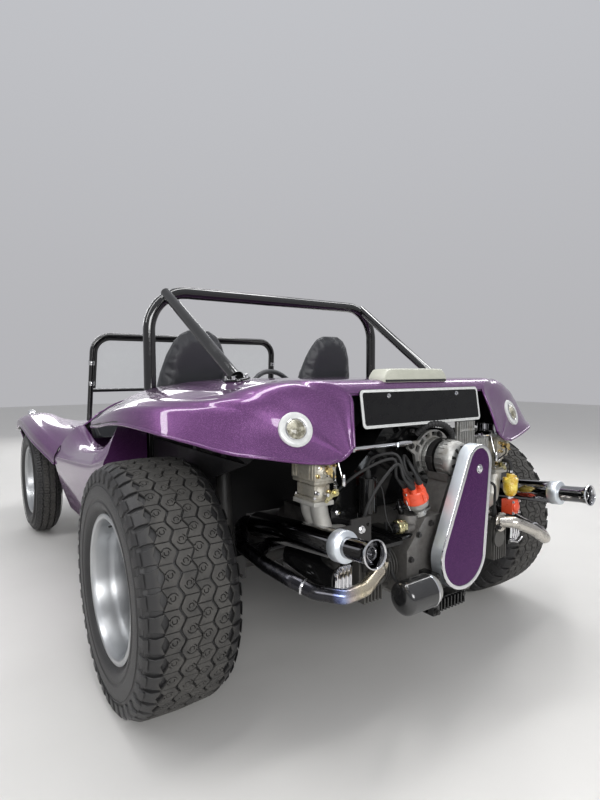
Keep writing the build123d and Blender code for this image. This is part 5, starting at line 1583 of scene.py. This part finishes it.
# Distributor: a cast body leaning in its clamp, with a vacuum capsule, under an orange-red moulded
# cap whose towers take the leads. Two sprung clips hold the cap.
red_plastic = material("red_moulding", {"Coat Weight": 0.3}, mottled(
    70.0, 4.0, (0.62, 0.055, 0.02), (0.78, 0.10, 0.035), (0.3, 0.7, 0.26, 0.44), (260.0, 3.0, 0.0004)))
dist_x, dist_y, dist_z = -82, -474, 551
dist_lean = radians(22)
dist_way = (-sin(dist_lean), 0, cos(dist_lean))
distributor = Piece("distributor_dressed")
at = axis_at((dist_x, dist_y, dist_z), dist_way, (1, 0, 0))
lathe(distributor, [(0, 0), (16, 0), (19, 3), (19, 18), (24, 24), (31, 31), (32, 36), (32, 46), (30, 48.3),
                    (0, 48.3)], polished_cast, at, 44)
block(distributor, (-20, -10, 2), (36, 10, 8), polished_cast, 2, at)
capsule = at @ axis_at((-20, 22, 36), (-0.7, 0.7, 0), upward)
lathe(distributor, [(0, -10), (7, -10), (7, 12), (20, 14), (24, 18), (25, 22), (24, 25), (18, 29), (7, 32),
                    (4, 34), (4, 42), (0, 43)],
      black_tin_and_cover_shade, capsule, 40)
fasteners(distributor, [(at @ Vector((30, 0, 8)), dist_way)], 11, 7, satin_steel)
for side in (-1, 1):
    clip_path = bent_path([at @ Vector((side * 34, 0, 34)), at @ Vector((side * 38, 0, 62)),
                           at @ Vector((side * 30, 0, 86))], 8)
    tube(distributor, clip_path, 2.6, chrome, sides=8)
done(distributor, "root", ["distributor"])
cap = Piece("distributor_cap_dressed")
cap_at = at @ Matrix.Translation((0, 0, 48))
lathe(cap, [(0, 0), (35, 0), (36, 2), (36, 9), (34, 12), (33.5, 29), (30, 35), (20, 37), (0, 37)],
      red_plastic, cap_at, 48)
rows = [[(r, s, z) for r, s in ((29, -7), (37, -6), (38.5, 0), (37, 6), (29, 7))] for z in (3, 27)]
rows.append([(r - 5, s * 0.8, 33) for r, s, z in rows[-1]])
ribbed(cap, rows, 4, cap_at, dist_way, red_plastic)
towers = [(21 * cos(radians(45 + 90 * n)), 21 * sin(radians(45 + 90 * n))) for n in range(4)] + [(0, 0)]
for tx, ty in towers:
    lathe(cap, [(9.4, 28), (9, 44), (8, 50), (4, 51), (0, 51)], red_plastic,
          cap_at @ Matrix.Translation((tx, ty, 0)), 24)
done(cap, "root", ["distributor_cap"])


# Ignition leads: stiff black cable in soft arcs from the cap's towers to the plugs and the coil,
# with rubber boots pushed over both ends.
leads = Piece("ignition_leads_dressed")
posts = [cap_at @ Vector((tx, ty, 50)) for tx, ty in towers]
lifts = [cap_at @ Vector((1.4 * tx - 14, ty, 92)) for tx, ty in towers]
routes = [
    [posts[1], lifts[1], (-168, -452, 716), (-240, -410, 690), (-306, -362, 624), (-320, -308, 540),
     (-318, -300, 471)],
    [posts[2], lifts[2], (-174, -474, 706), (-236, -474, 668), (-284, -470, 606), (-294, -460, 540),
     (-292, -458, 483)],
    [posts[0], lifts[0], (-96, -420, 716), (-30, -398, 668), (40, -384, 620), (236, -370, 634),
     (306, -346, 596), (318, -308, 540), (318, -300, 471)],
    [posts[3], lifts[3], (-102, -440, 704), (-40, -416, 656), (60, -404, 606), (210, -460, 606),
     (278, -466, 590), (292, -460, 540), (292, -458, 483)],
    [posts[4], lifts[4], (-158, -450, 728), (-200, -410, 722), (-212, -392, 700), (-210, -390, 660.5)],
]
for route in routes:
    path = [Vector(p) for p in spline(route, 9)]
    tube(leads, path, 4.4, rubber, sides=12)
    for run in (path[:6], path[-6:][::-1]):
        along = (run[-1] - run[0]).normalized()
        lathe(leads, [(0, -2), (8.6, -2), (8.9, 4), (8.2, 16), (6.2, 26), (4.4, 34), (3, 35)], rubber,
              axis_at(run[0], along), 20)
done(leads, "root", ["ignition_leads"])


# Oil filter: a black spun can with a bright rolled seam, screwed on a finned pump housing at the
# back of the sump.
oil_filter = Piece("oil_filter_dressed")
at = axis_at((-134, -548.5, 366), (-1, 0, 0), upward)
can = material("filter_can", {"Coat Weight": 0.8}, mottled(
    34.0, 5.0, (0.008, 0.008, 0.009), (0.02, 0.02, 0.02), (0.3, 0.7, 0.10, 0.24)))
lathe(oil_filter, [(42, 0), (46, 1), (46, 6)], chrome, at, 60)
lathe(oil_filter, [(46, 6), (45, 8), (45, 90), (43.6, 96.5), (39.5, 101.5), (32, 105), (18, 106.6),
                   (0, 107)], can, at, 60)
lathe(oil_filter, [(0, -18), (38, -18), (40, -14), (40, -2), (42, 0)], polished_cast, at, 48)
block(oil_filter, (-118, -540, 288), (40, -500, 326), black_tin_and_cover_shade, 4)
leaf_fins(oil_filter, (-96, -547, 291), (34, -537, 323), 9, 0, 5, black_tin_and_cover_shade)
leaf_fins(oil_filter, (-96, -540, 284), (34, -502, 290), 9, 0, 5, black_tin_and_cover_shade)
block(oil_filter, (-118, -556, 288), (-92, -500, 405), black_tin_and_cover_shade, 5)
fasteners(oil_filter, [((-105, -556, 300), rearward), ((-105, -556, 394), rearward),
                       ((24, -540, 316), rearward)], 11, 7, satin_steel)
done(oil_filter, "root", ["oil_filter"])


# Rocker covers: pressed covers with bright crimped ends, each held down on its head by a sprung wire
# bail. Their long sides are black as painted shade, standing for the dark reflections on the bright covers.
# The finned barrels and heads behind them are bare oily iron.
oily_iron = material("oily_iron", {}, mottled(
    26.0, 6.0, (0.035, 0.034, 0.032), (0.15, 0.145, 0.135), (0.3, 0.7, 0.38, 0.66), (420.0, 3.0, 0.0006),
    (0.3, 0.8, 0.3, 0.7)))
covers = Piece("rocker_cover_pair")
cover_z = 427
cover_front, cover_rear = -250, -484
for side in (-1, 1):
    rows = []
    for y, tuck in ((cover_front, 6), (cover_front - 3, 1), (cover_front - 8, 0), (cover_rear + 10, 0),
                    (cover_rear + 6, 0.5)):
        rows.append([(side * (x + 18), y, z) for x, z in (
            (326, cover_z - 46), (330, cover_z - 46 + tuck), (372 - tuck, cover_z - 42 + tuck),
            (390 - tuck, cover_z - 30), (396 - tuck, cover_z - 12), (396 - tuck, cover_z + 12),
            (390 - tuck, cover_z + 30), (372 - tuck, cover_z + 42 - tuck), (330, cover_z + 46 - tuck),
            (326, cover_z + 46))])
    # The cover's sides in black: painted shade and dark reflection, not the cover's own colour.
    grid(covers, rows, black_tin_and_cover_shade, wrap=True, caps=True)
    ridges = 13
    crimp = []
    for k in range(2 * ridges + 1):
        x = 350 + 56 * k / (2 * ridges)
        bow = cover_rear + (0 if k % 2 else 3.4) + 1.5 * sin(2.1 * k)
        reach = 38 if x < 388 else 38 - (x - 388) * 0.8
        crimp.append([(side * x, y, cover_z + rise) for y, rise in (
            (bow + 6, -reach), (bow, 6 - reach), (bow - 2, 0), (bow, reach - 6), (bow + 6, reach))])
    grid(covers, crimp, chrome)
    bail = bent_path([(side * x, y, cover_z - drop) for x, y, drop in (
        (340, cover_front - 10, 6), (416, cover_front - 14, 6), (418, cover_rear - 2, 30),
        (374, cover_rear - 12, 38), (334, cover_rear - 8, 28))], 16)
    tube(covers, bail, 2.6, chrome, sides=12)
done(covers, "root", ["rocker_covers"], sharp=30)


# Manifolds and carburettors: a pale two-runner casting a side, with a twin-choke downdraught
# carburettor bolted on, its float bowl, pump cover, jets, levers and link rod.
def manifold_casting(point):
    grain = noise(point, 460.0, 4.0)
    return {"Base Color": mix(noise(point, 60.0, 4.0), (0.52, 0.51, 0.47), (0.66, 0.65, 0.61)),
            "Roughness": ramp(grain, 0.3, 0.7, 0.4, 0.6), "Metallic": ramp(grain, 0.0, 1.0, 0.6, 0.7),
            "Normal": bump(grain, 0.0009)}


carb_metal = material("carburettor_casting", {}, casting(
    640.0, (40.0, 0.38, 0.7), 110.0, (0.42, 0.40, 0.34), (0.56, 0.53, 0.46), (0.17, 0.14, 0.09), 0.6,
    (0.7, 0.3), (1.0, 0.3), (0.3, 1.0, 0.34, 0.62), 0.0007))
manifold_metal = material("manifold_casting", {}, manifold_casting)
brass = material("brass_jet", {"Metallic": 1.0}, lambda point: {
    "Base Color": mix(noise(point, 90.0, 3.0), (0.62, 0.45, 0.18), (0.74, 0.58, 0.28)),
    "Roughness": ramp(noise(point, 140.0, 3.0), 0.3, 0.7, 0.2, 0.36)})
carb_x, carb_y, carb_z = 390, -368, 622
manifolds = Piece("manifold_pair")
carbs = Piece("carburettor_pair")


def coil_spring(piece, start, end, radius, turns, wire, finish):
    """A wound spring between two points."""
    at = axis_at(start, Vector(end) - Vector(start))
    length = (Vector(end) - Vector(start)).length
    steps = turns * 14
    path = []
    for n in range(steps + 1):
        a = 2 * pi * turns * n / steps
        path.append(at @ Vector((radius * cos(a), radius * sin(a), length * n / steps)))
    tube(piece, path, wire, finish, sides=6)


for side in (-1, 1):
    bolts = []
    for offset, port_y in ((22, -372), (-22, -412)):
        lower = carb_y + offset * 0.6 - 14
        path = bent_path([(side * 284, port_y, 484), (side * 286, port_y, 510),
                          (side * (carb_x - 24), lower, 520),
                          (side * (carb_x - 6), carb_y + offset, 580),
                          (side * carb_x, carb_y + offset, carb_z - 8)],
                         [22, 30, 40], radians(7))
        tube(manifolds, path, [22 + 2 * abs(2 * n / (len(path) - 1) - 1) for n in range(len(path))],
             manifold_metal, sides=28)
        block(manifolds, (side * 284 - 28, port_y - 19, 482), (side * 284 + 28, port_y + 19, 491),
              manifold_metal, 3)
        bolts += [((side * 284 - 22, port_y, 491), upward), ((side * 284 + 22, port_y, 491), upward)]
    block(manifolds, (side * carb_x - 33, carb_y - 49, carb_z - 13),
          (side * carb_x + 33, carb_y + 49, carb_z - 0.5), manifold_metal, 3)
    fasteners(manifolds, bolts, 12, 9, zinc)

    def corner(x0, y0, z0, x1, y1, z1, finish, bevel=2.5, piece=carbs):
        low = (side * carb_x + min(side * x0, side * x1), carb_y + y0, carb_z + z0)
        high = (side * carb_x + max(side * x0, side * x1), carb_y + y1, carb_z + z1)
        block(piece, low, high, finish, bevel)

    def spot(x, y, z):
        return Vector((side * (carb_x + x), carb_y + y, carb_z + z))

    corner(-30, -46, 0, 30, 46, 8, carb_metal)
    for offset in (22, -22):
        lathe(carbs, [(20, 6), (24, 8), (24, 34), (22, 38), (25, 44), (26, 50)], carb_metal,
              axis_at(spot(0, offset, 0)), 36)
        lathe(carbs, [(26, 118), (25, 130), (24, 156), (25.5, 158), (24, 159.5), (20, 156), (18.5, 140),
                      (18, 122)], chrome, axis_at(spot(0, offset, 0)), 40)
        lathe(carbs, [(0, 128), (18, 128)], black_tin_and_cover_shade, axis_at(spot(0, offset, 0)), 24)
        lathe(carbs, [(6, 128), (7, 134), (7, 146), (4, 150), (0, 150)],
              brass, axis_at(spot(0, offset, 0)), 16)
    corner(-26, -40, 10, 26, 40, 42, carb_metal, 5)
    corner(-33, -50, 46, 33, 50, 54, carb_metal)
    corner(-35, -54, 54, 35, 54, 112, carb_metal, 6)
    corner(-38, -58, 108, 38, 58, 116, carb_metal)
    corner(-44, -62, 116, 44, 62, 125, polished_cast, 3)
    for fin_y in (-44, -30, 30, 44):
        corner(34, fin_y - 2, 60, 37.5, fin_y + 2, 106, carb_metal, 1)
        corner(-37.5, fin_y - 2, 60, -34, fin_y + 2, 106, carb_metal, 1)
    corner(-58, -28, 56, -34, 28, 102, carb_metal, 6)
    lathe(carbs, [(0, 0), (21, 0), (21, 5), (17, 9), (8, 11), (0, 11)], carb_metal,
          axis_at(spot(-57, 0, 79), (-side, 0, 0), upward), 36)
    lathe(carbs, [(0, 0), (19, 0), (19, 5), (14, 10), (6, 12), (6, 17), (0, 17)], carb_metal,
          axis_at(spot(8, -50, 80), rearward), 36)
    for jx, jz, length in ((-22, 66, 14), (-22, 96, 16), (26, 70, 10), (22, 24, 14), (-20, 22, 16)):
        jet_y = -54 if jz > 50 else -42
        lathe(carbs, [(0, -1), (6, -1), (6, 4), (4.4, 5), (4.4, length - 2), (3, length), (0, length)],
              brass if jz != 24 else chrome, axis_at(spot(jx, jet_y, jz), rearward), 6 if jz > 60 else 20)
    tube(carbs, [spot(0, -66, 20), spot(0, 66, 20)], 4.6, chrome, sides=16)
    lever = axis_at(spot(-26, -61, 22), rearward, (-1, 0, 0))
    if side > 0:
        lever = lever @ Matrix.Rotation(pi, 4, "Y") @ Matrix.Translation((0, 0, -3))
    cut_sheet(carbs, [(-9, -9), (4, -11), (12, -4), (30, 10), (35, 20), (28, 24), (8, 10), (-8, 9)],
              [ring_of(2.6, (28, 18), 12)], 3, zinc, lever)
    fasteners(carbs, [(spot(-26, -65, 22), rearward)], 10, 6, zinc)
    coil_spring(carbs, spot(-30, -60, 26), spot(-26, -58, 66), 4.2, 9, 0.9, chrome)
    rod_low = Vector((side * (carb_x - 54), carb_y - 64, carb_z + 42))
    tube(carbs, [rod_low, Vector((side * (carb_x - 48), carb_y - 36, carb_z + 126))], 2.4, chrome, sides=12)
    lathe(carbs, [(0, -6), (5, -5), (5.6, 0), (5, 22), (3, 26), (0, 26)], chrome, axis_at(rod_low), 20)
    tube(carbs, bent_path([spot(-12, -54, 84), spot(-12, -74, 84), spot(-12, -74, 60), spot(-36, -60, 40)],
                          8), 2.4, rubber, sides=10)
    lathe(carbs, [(0, 0), (13, 0), (13, 3), (9, 5), (9, 15), (11, 16), (11, 18), (0, 18)], brass,
          axis_at(spot(0, -56, 84), rearward), 6)
    fasteners(carbs, [(spot(x, y, 125), upward) for x in (-36, 36) for y in (-50, 50)]
              + [(spot(8 + 15 * cos(a), -55, 80 + 15 * sin(a)), rearward) for a in (0.8, 2.4, 3.9, 5.5)]
              + [(spot(x, y, 8), upward) for x in (-26, 26) for y in (-42, 42)], 6, 4, chrome)
done(manifolds, "root", ["intake_manifolds"])
done(carbs, "root", ["carburettors"])


# Fuel filter and pressure regulator at the right carburettor: an amber bowl under a white cap with
# a hose to the inlet, above a small red block.
amber = material("amber_bowl", {"Coat Weight": 1.0}, fluted_lens((0.66, 0.42, 0.03), (0.86, 0.68, 0.12)))
bowl_x, bowl_y = 385, -456
fuel = Piece("fuel_filter_bowl")
at = axis_at((bowl_x, bowl_y, 536))
lathe(fuel, [(0, 0), (9, 0), (16, 4), (22, 14), (24, 24), (24, 46), (22, 50)], amber, at, 44)
for side in (-1, 1):
    block(fuel, (bowl_x + side * 27 - 7, bowl_y - 3, 594),
          (bowl_x + side * 27 + 7, bowl_y + 3, 604), amber, 2.5)
lathe(fuel,
      [(22, 48), (25.5, 49), (25.5, 62), (22, 65), (15, 66), (14, 76), (11, 78), (0, 78)], amber, at, 44)
tube(fuel, bent_path([(bowl_x, bowl_y, 612), (bowl_x, bowl_y, 655), (bowl_x, -424.6, 655)], 16),
     6, rubber, sides=16)
lathe(fuel, [(7.4, -4), (7.8, 0), (7.4, 4)], chrome, axis_at((bowl_x, bowl_y, 622)), 24)
done(fuel, "root", ["fuel_filter"])
regulator = Piece("fuel_regulator_block")
block(regulator, (bowl_x - 20, bowl_y - 22, 478), (bowl_x + 22, bowl_y + 20, 526), red_plastic, 4)
lathe(regulator, [(0, 0), (17, 0), (17, 4), (13, 8), (5, 9), (0, 9)], red_plastic,
      axis_at((bowl_x, bowl_y - 21, 502), rearward), 36)
lathe(regulator, [(10, -2), (10, 9.2), (0, 9.2)], chrome, axis_at((bowl_x, bowl_y, 526)), 6)
fasteners(regulator, [((bowl_x + dx, bowl_y - 22, 502 + dz),
                       rearward) for dx in (-16, 18) for dz in (-19, 19)], 6, 4, chrome)
done(regulator, "root", ["fuel_regulator"])


# Throttle cross rod: two bright bars with locked rod ends, from the hub beside the alternator to
# both carburettors.
linkage = Piece("throttle_cross_rod")
rod_y, rod_z = carb_y - 32, 749
for side, inner in ((-1, 48), (1, 136)):
    outer = carb_x - 44
    tube(linkage, [(side * inner, rod_y, rod_z), (side * outer, rod_y, rod_z)], 8, chrome, sides=24)
    for x, way in ((inner + 34, -side), (outer - 34, side)):
        at = axis_at((side * x, rod_y, rod_z), (way, 0, 0), upward)
        lathe(linkage, [(8, -24), (11.5, -22), (11.5, 14), (9.6, 16), (9.6, 30), (0, 31)], chrome, at, 28)
        lathe(linkage, [(8, -34), (13.5, -34), (13.5, -26), (8, -26)], chrome, at, 6)
    at = axis_at((side * outer, rod_y, rod_z), (side, 0, 0), upward)
    lathe(linkage, [(0, -6), (11, -6), (12, 0), (11, 6), (0, 6)], polished_cast, at, 32)
done(linkage, "root", ["throttle_linkage"])


# Exhausts: a bent header a side, heat-tinted where it leaves the head, with painted shade darkening its
# runs further out and forward under the body, a black-chromed silencer, a bright clamp collar and a
# flared tail pipe with an inner tube, hung from a bracket on the head.
def tint_and_shade_header(colours):
    def varied(point):
        x, y, z = axes(point)
        wave = noise(point, 18.0, 4.0)
        across = x.maths("ABSOLUTE", x)
        # Further out and forward under the cowl this ramp turns near black: painted shade, past the real heat
        # tint.
        place = ramp(across + ramp(y, -1.50, -1.20) * 0.4 + wave * 0.03, 0.33, 0.62)
        tint = place.node("ShaderNodeValToRGB", {"stops": colours}, {"Fac": place})
        soot = ramp(noise(point, 60.0, 5.0), 0.45, 0.75)
        return {"Base Color": mix(soot * 0.25, tint, (0.10, 0.09, 0.08)),
                "Roughness": ramp(wave + soot * 0.3, 0.3, 0.9, 0.20, 0.36),
                "Normal": bump(noise(point, 60.0, 1.0), 0.0003)}
    return varied


black_chrome = material("black_chrome", {"Metallic": 1.0}, mottled(
    26.0, 4.0, (0.26, 0.26, 0.27), (0.33, 0.33, 0.34), (0.3, 0.7, 0.04, 0.10)))
# Both ramps end near black: that end is painted shade on the header runs under the body, not the steel's
# colour.
tinted_shaded_steel = material("heat_tinted_steel_and_painted_shade", {"Metallic": 1.0}, tint_and_shade_header(
    [(0.0, (0.58, 0.52, 0.42)), (0.22, (0.62, 0.55, 0.40)), (0.36, (0.48, 0.42, 0.40)),
     (0.46, (0.27, 0.32, 0.52)), (0.54, (0.10, 0.12, 0.24)), (0.64, (0.035, 0.035, 0.04))]))
bare_steel_shaded = material("bare_header_steel_and_painted_shade", {"Metallic": 1.0}, tint_and_shade_header(
    [(0.0, (0.60, 0.57, 0.52)), (0.40, (0.56, 0.53, 0.48)), (0.66, (0.42, 0.36, 0.30)),
     (0.80, (0.22, 0.19, 0.18)), (0.95, (0.07, 0.065, 0.065))]))
silencer_x, silencer_z = 460, 560
rise = radians(6)
collar_front = -562
# For each side: height of the ports, the header's bends, and where the front port's pipe joins it.
header_routes = {
    -1: (452, [(298, -530, 450), (370, -556, 430), (436, -558, 426), (500, -524, 442), (530, -470, 460),
               (545, -380, 472), (545, -250, 486)], (530, -300, 470)),
    1: (476, [(294, -534, 478), (360, -556, 448), (446, -552, 400), (505, -500, 402), (522, -440, 410),
              (524, -380, 424), (520, -250, 452)], (512, -300, 442))}
for side, word in hands:
    exhaust = Piece(f"exhaust_dressed_{word}")
    header_tint_and_shade = bare_steel_shaded if side > 0 else tinted_shaded_steel
    at = axis_at((side * silencer_x, -578, silencer_z), (0, -cos(rise), sin(rise)),
                 upward) @ Matrix.Translation((0, 0, -578))
    lathe(exhaust, [(0, 180), (28, 180), (33, 184), (36, 192), (36, -collar_front), (0, -collar_front)],
          black_chrome, at, 64)
    lathe(exhaust, [(35, 562), (37, 562), (38, 563.5), (38, 590), (37, 592), (34, 592)],
          brushed_aluminium, at, 64)
    lathe(exhaust, [(36.4, 592.2), (34, 594), (25, 597)], brushed_aluminium, at, 64)
    lathe(exhaust, [(25, 594), (25, 660), (26, 670), (30, 682), (31.6, 685.6), (31.4, 687.4), (29.4, 686.6),
                    (24.6, 676), (23, 664), (22.6, 656), (0, 656)], black_chrome, at, 64)
    lathe(exhaust,
          [(29, 682), (31, 683), (32.8, 686), (32.2, 688.6), (30.4, 688.8), (28.6, 686)], chrome, at, 64)
    lathe(exhaust, [(15, 652), (15, 675.5), (13.5, 676), (12, 674), (12, 652)], black_chrome, at, 40)
    port_z, route, join = header_routes[side]
    header = bent_path([(side * x, y, z) for x, y, z in [(270, -496.3, port_z)] + route + [
        (silencer_x, -84, 508), (silencer_x, -184, 519)]], [20, 40, 50, 40, 60, 60, 60, 30], radians(6))
    tube(exhaust, header, 18, header_tint_and_shade, sides=32)
    front_pipe = bent_path([(side * 270, -228.7, port_z), (side * 270, -180, port_z),
                            (side * 420, -170, port_z - 10),
                            (side * join[0], *join[1:])], [30, 40], radians(6))
    tube(exhaust, front_pipe, 18, header_tint_and_shade, sides=32)
    x, y, z = (a + (b - a) * 0.5 for a, b in zip(route[3], route[4]))
    way = (side * (route[4][0] - route[3][0]), route[4][1] - route[3][1], route[4][2] - route[3][2])
    lathe(exhaust, [(18, -4), (20, -3), (21, 0), (20, 3), (18, 4)],
          chrome, axis_at((side * x, y, z), way), 40)
    for y0, y1 in ((-504, -496.3), (-236.7, -229)):
        lathe(exhaust, [(18, y0), (30, y0), (31, y0 + 1), (31, y1 - 1), (30, y1), (18, y1)], header_tint_and_shade,
              axis_at((side * 270, 0, port_z), (0, 1, 0)), 36)
    fasteners(exhaust, [((side * 270 + dx, -504, port_z + dz), rearward)
                        for dx, dz in ((25, 12), (-25, -12))], 11, 9, satin_steel)
    hanger_y = -493.3 if side < 0 else -372
    hanger = Matrix.Translation((0, hanger_y + 3, 0)) @ Matrix(((side, 0, 0, 0), (0, 0, -1, 0),
                                                                (0, 1, 0, 0), (0, 0, 0, 1)))
    if side < 0:
        cut_sheet(exhaust, [(300, 440), (322, 440), (322, 520), (364, 520), (364, 543), (430, 543),
                            (430, 572), (364, 572), (364, 586), (296, 586), (296, 520), (300, 520)],
                  [ring_of(5, (308, 566), 16)], 6, satin_steel, hanger)
        fasteners(exhaust, [((-330, hanger_y - 3, 556), rearward)], 12, 7, chrome)
    else:
        cut_sheet(exhaust, [(310, 440), (326, 440), (340, 500), (430, 530), (430, 556), (330, 522)],
                  [ring_of(5, (325, 460), 16)], 6, satin_steel, hanger)
    done(exhaust, "root", [f"exhaust_{word}"], sharp=35)


# Running gear, floor and tub: the solids themselves, of welded steel in satin paint, cast iron,
# plated rod and glass fibre, each with its own finish.
def painted_steel(point):
    grime = noise(point, 18.0, 6.0)
    grit = noise(point, 240.0, 3.0)
    base = mix(grime, (0.010, 0.010, 0.011), (0.030, 0.028, 0.026))
    return {"Base Color": mix(ramp(grime * 0.7 + grit * 0.3, 0.5, 0.72) * 0.6, base, (0.07, 0.06, 0.05)),
            "Roughness": ramp(grime, 0.3, 0.7, 0.34, 0.7), "Normal": bump(grit, 0.0005)}


chassis_paint = material("chassis_paint", {}, painted_steel)
iron = material("cast_iron", {}, mottled(
    30.0, 6.0, (0.07, 0.065, 0.06), (0.16, 0.15, 0.14), (0.3, 0.7, 0.42, 0.7), (420.0, 3.0, 0.0006),
    (0.3, 0.8, 0.8, 0.4)))
tie_zinc = material("zinc_rod", {"Metallic": 1.0}, lambda point: {
    "Base Color": mix(noise(point, 40.0, 4.0), (0.42, 0.40, 0.34), (0.58, 0.55, 0.46)),
    "Roughness": ramp(noise(point, 70.0, 4.0), 0.3, 0.7, 0.25, 0.45)})
kept = {
    chassis_paint: "chassis rear_suspension front_beam trailing_arms steering_column controls",
    case_alloy: "gearbox engine_case",
    oily_iron: "cylinders",
    iron: "knuckle_right knuckle_left drop_arm",
    tie_zinc: "tie_rod_right tie_rod_left",
    black_moulding: "rear_tub",
    black_tin_and_cover_shade: "fan_shroud",
    purple: "footwell",
    glass: "windscreen_glass",
}
for finish, names in kept.items():
    for name in names.split():
        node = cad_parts[name]
        node.data.materials.clear()
        node.data.materials.append(finish)
        node.data.polygons.foreach_set("use_smooth", [True] * len(node.data.polygons))
        node.data.set_sharp_from_angle(angle=radians(32))


# Studio: a plain pale floor, soft overhead panels and a grey room, with the camera at the
# photograph's angle.
floor_mesh = bpy.data.meshes.new("floor")
reach = 14.0
floor_mesh.from_pydata([(-reach, -reach, 0), (reach, -reach, 0), (reach, reach, 0), (-reach, reach, 0)],
                       [], [(0, 1, 2, 3)])
floor_mesh.materials.append(material("pale_floor", {}, mottled(
    3.0, 5.0, (0.60, 0.59, 0.57), (0.66, 0.65, 0.63), (0.3, 0.7, 0.75, 0.9))))
put("floor", floor_mesh)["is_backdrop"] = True


def soft_light(name, place, target, size, size_y, power):
    data = bpy.data.lights.new(name, "AREA")
    data.shape = "RECTANGLE"
    data.size = size
    data.size_y = size_y
    data.energy = power
    lamp = put(name, data)
    lamp.location = place
    lamp.rotation_euler = (Vector(target) - Vector(place)).to_track_quat("-Z", "Y").to_euler()


soft_light("overhead_panel", (0.2, -0.6, 4.2), (0, -0.3, 0.4), 4.2, 0.5, 75)
soft_light("overhead_left", (-2.6, -0.4, 3.6), (0, -0.4, 0.5), 0.45, 4.0, 62)
soft_light("overhead_right", (2.8, -0.4, 3.6), (0, -0.4, 0.5), 0.45, 4.0, 50)
soft_light("rear_fill", (-1.6, -5.2, 2.2), (0.1, -1.0, 0.5), 2.8, 1.4, 125)
soft_light("front_fill", (1.2, 5.2, 2.4), (0, 1.0, 0.5), 3.2, 1.4, 70)

world = bpy.data.worlds.new("studio")
bpy.context.scene.world = world
world.use_nodes = True
tree = world.node_tree
tree.nodes.clear()
height = axes(Out(tree, tree.nodes.new("ShaderNodeTexCoord").outputs["Generated"]))[2]
room = mix(ramp(height, -0.1, 0.9), (0.46, 0.46, 0.48), (0.56, 0.57, 0.60))
shade = height.node("ShaderNodeBackground", {}, {"Color": room, "Strength": 1.0})
out = tree.nodes.new("ShaderNodeOutputWorld")
tree.links.new(shade.socket, out.inputs["Surface"])

camera_data = bpy.data.cameras.new("camera")
camera_data.lens = 23.66
camera_data.sensor_width = 36
camera_data.sensor_fit = "AUTO"
camera_data.clip_start = 0.05
camera = put("camera", camera_data)
yaw, pitch, roll = 0.6132, 0.0545, -0.0024
camera.location = (-1.2288, -2.4093, 0.9644)
aim = Vector((sin(yaw) * cos(pitch), cos(yaw) * cos(pitch), -sin(pitch)))
camera.rotation_euler = (aim.to_track_quat("-Z", "Y").to_matrix() @ Matrix.Rotation(roll, 3, "Z")).to_euler()
bpy.context.scene.camera = camera
bpy.context.scene.view_settings.view_transform = "Standard"

low, high = cad_bounds
seen_low, seen_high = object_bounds()
{"cad": [list(low), list(high)], "visual": [list(seen_low), list(seen_high)]}
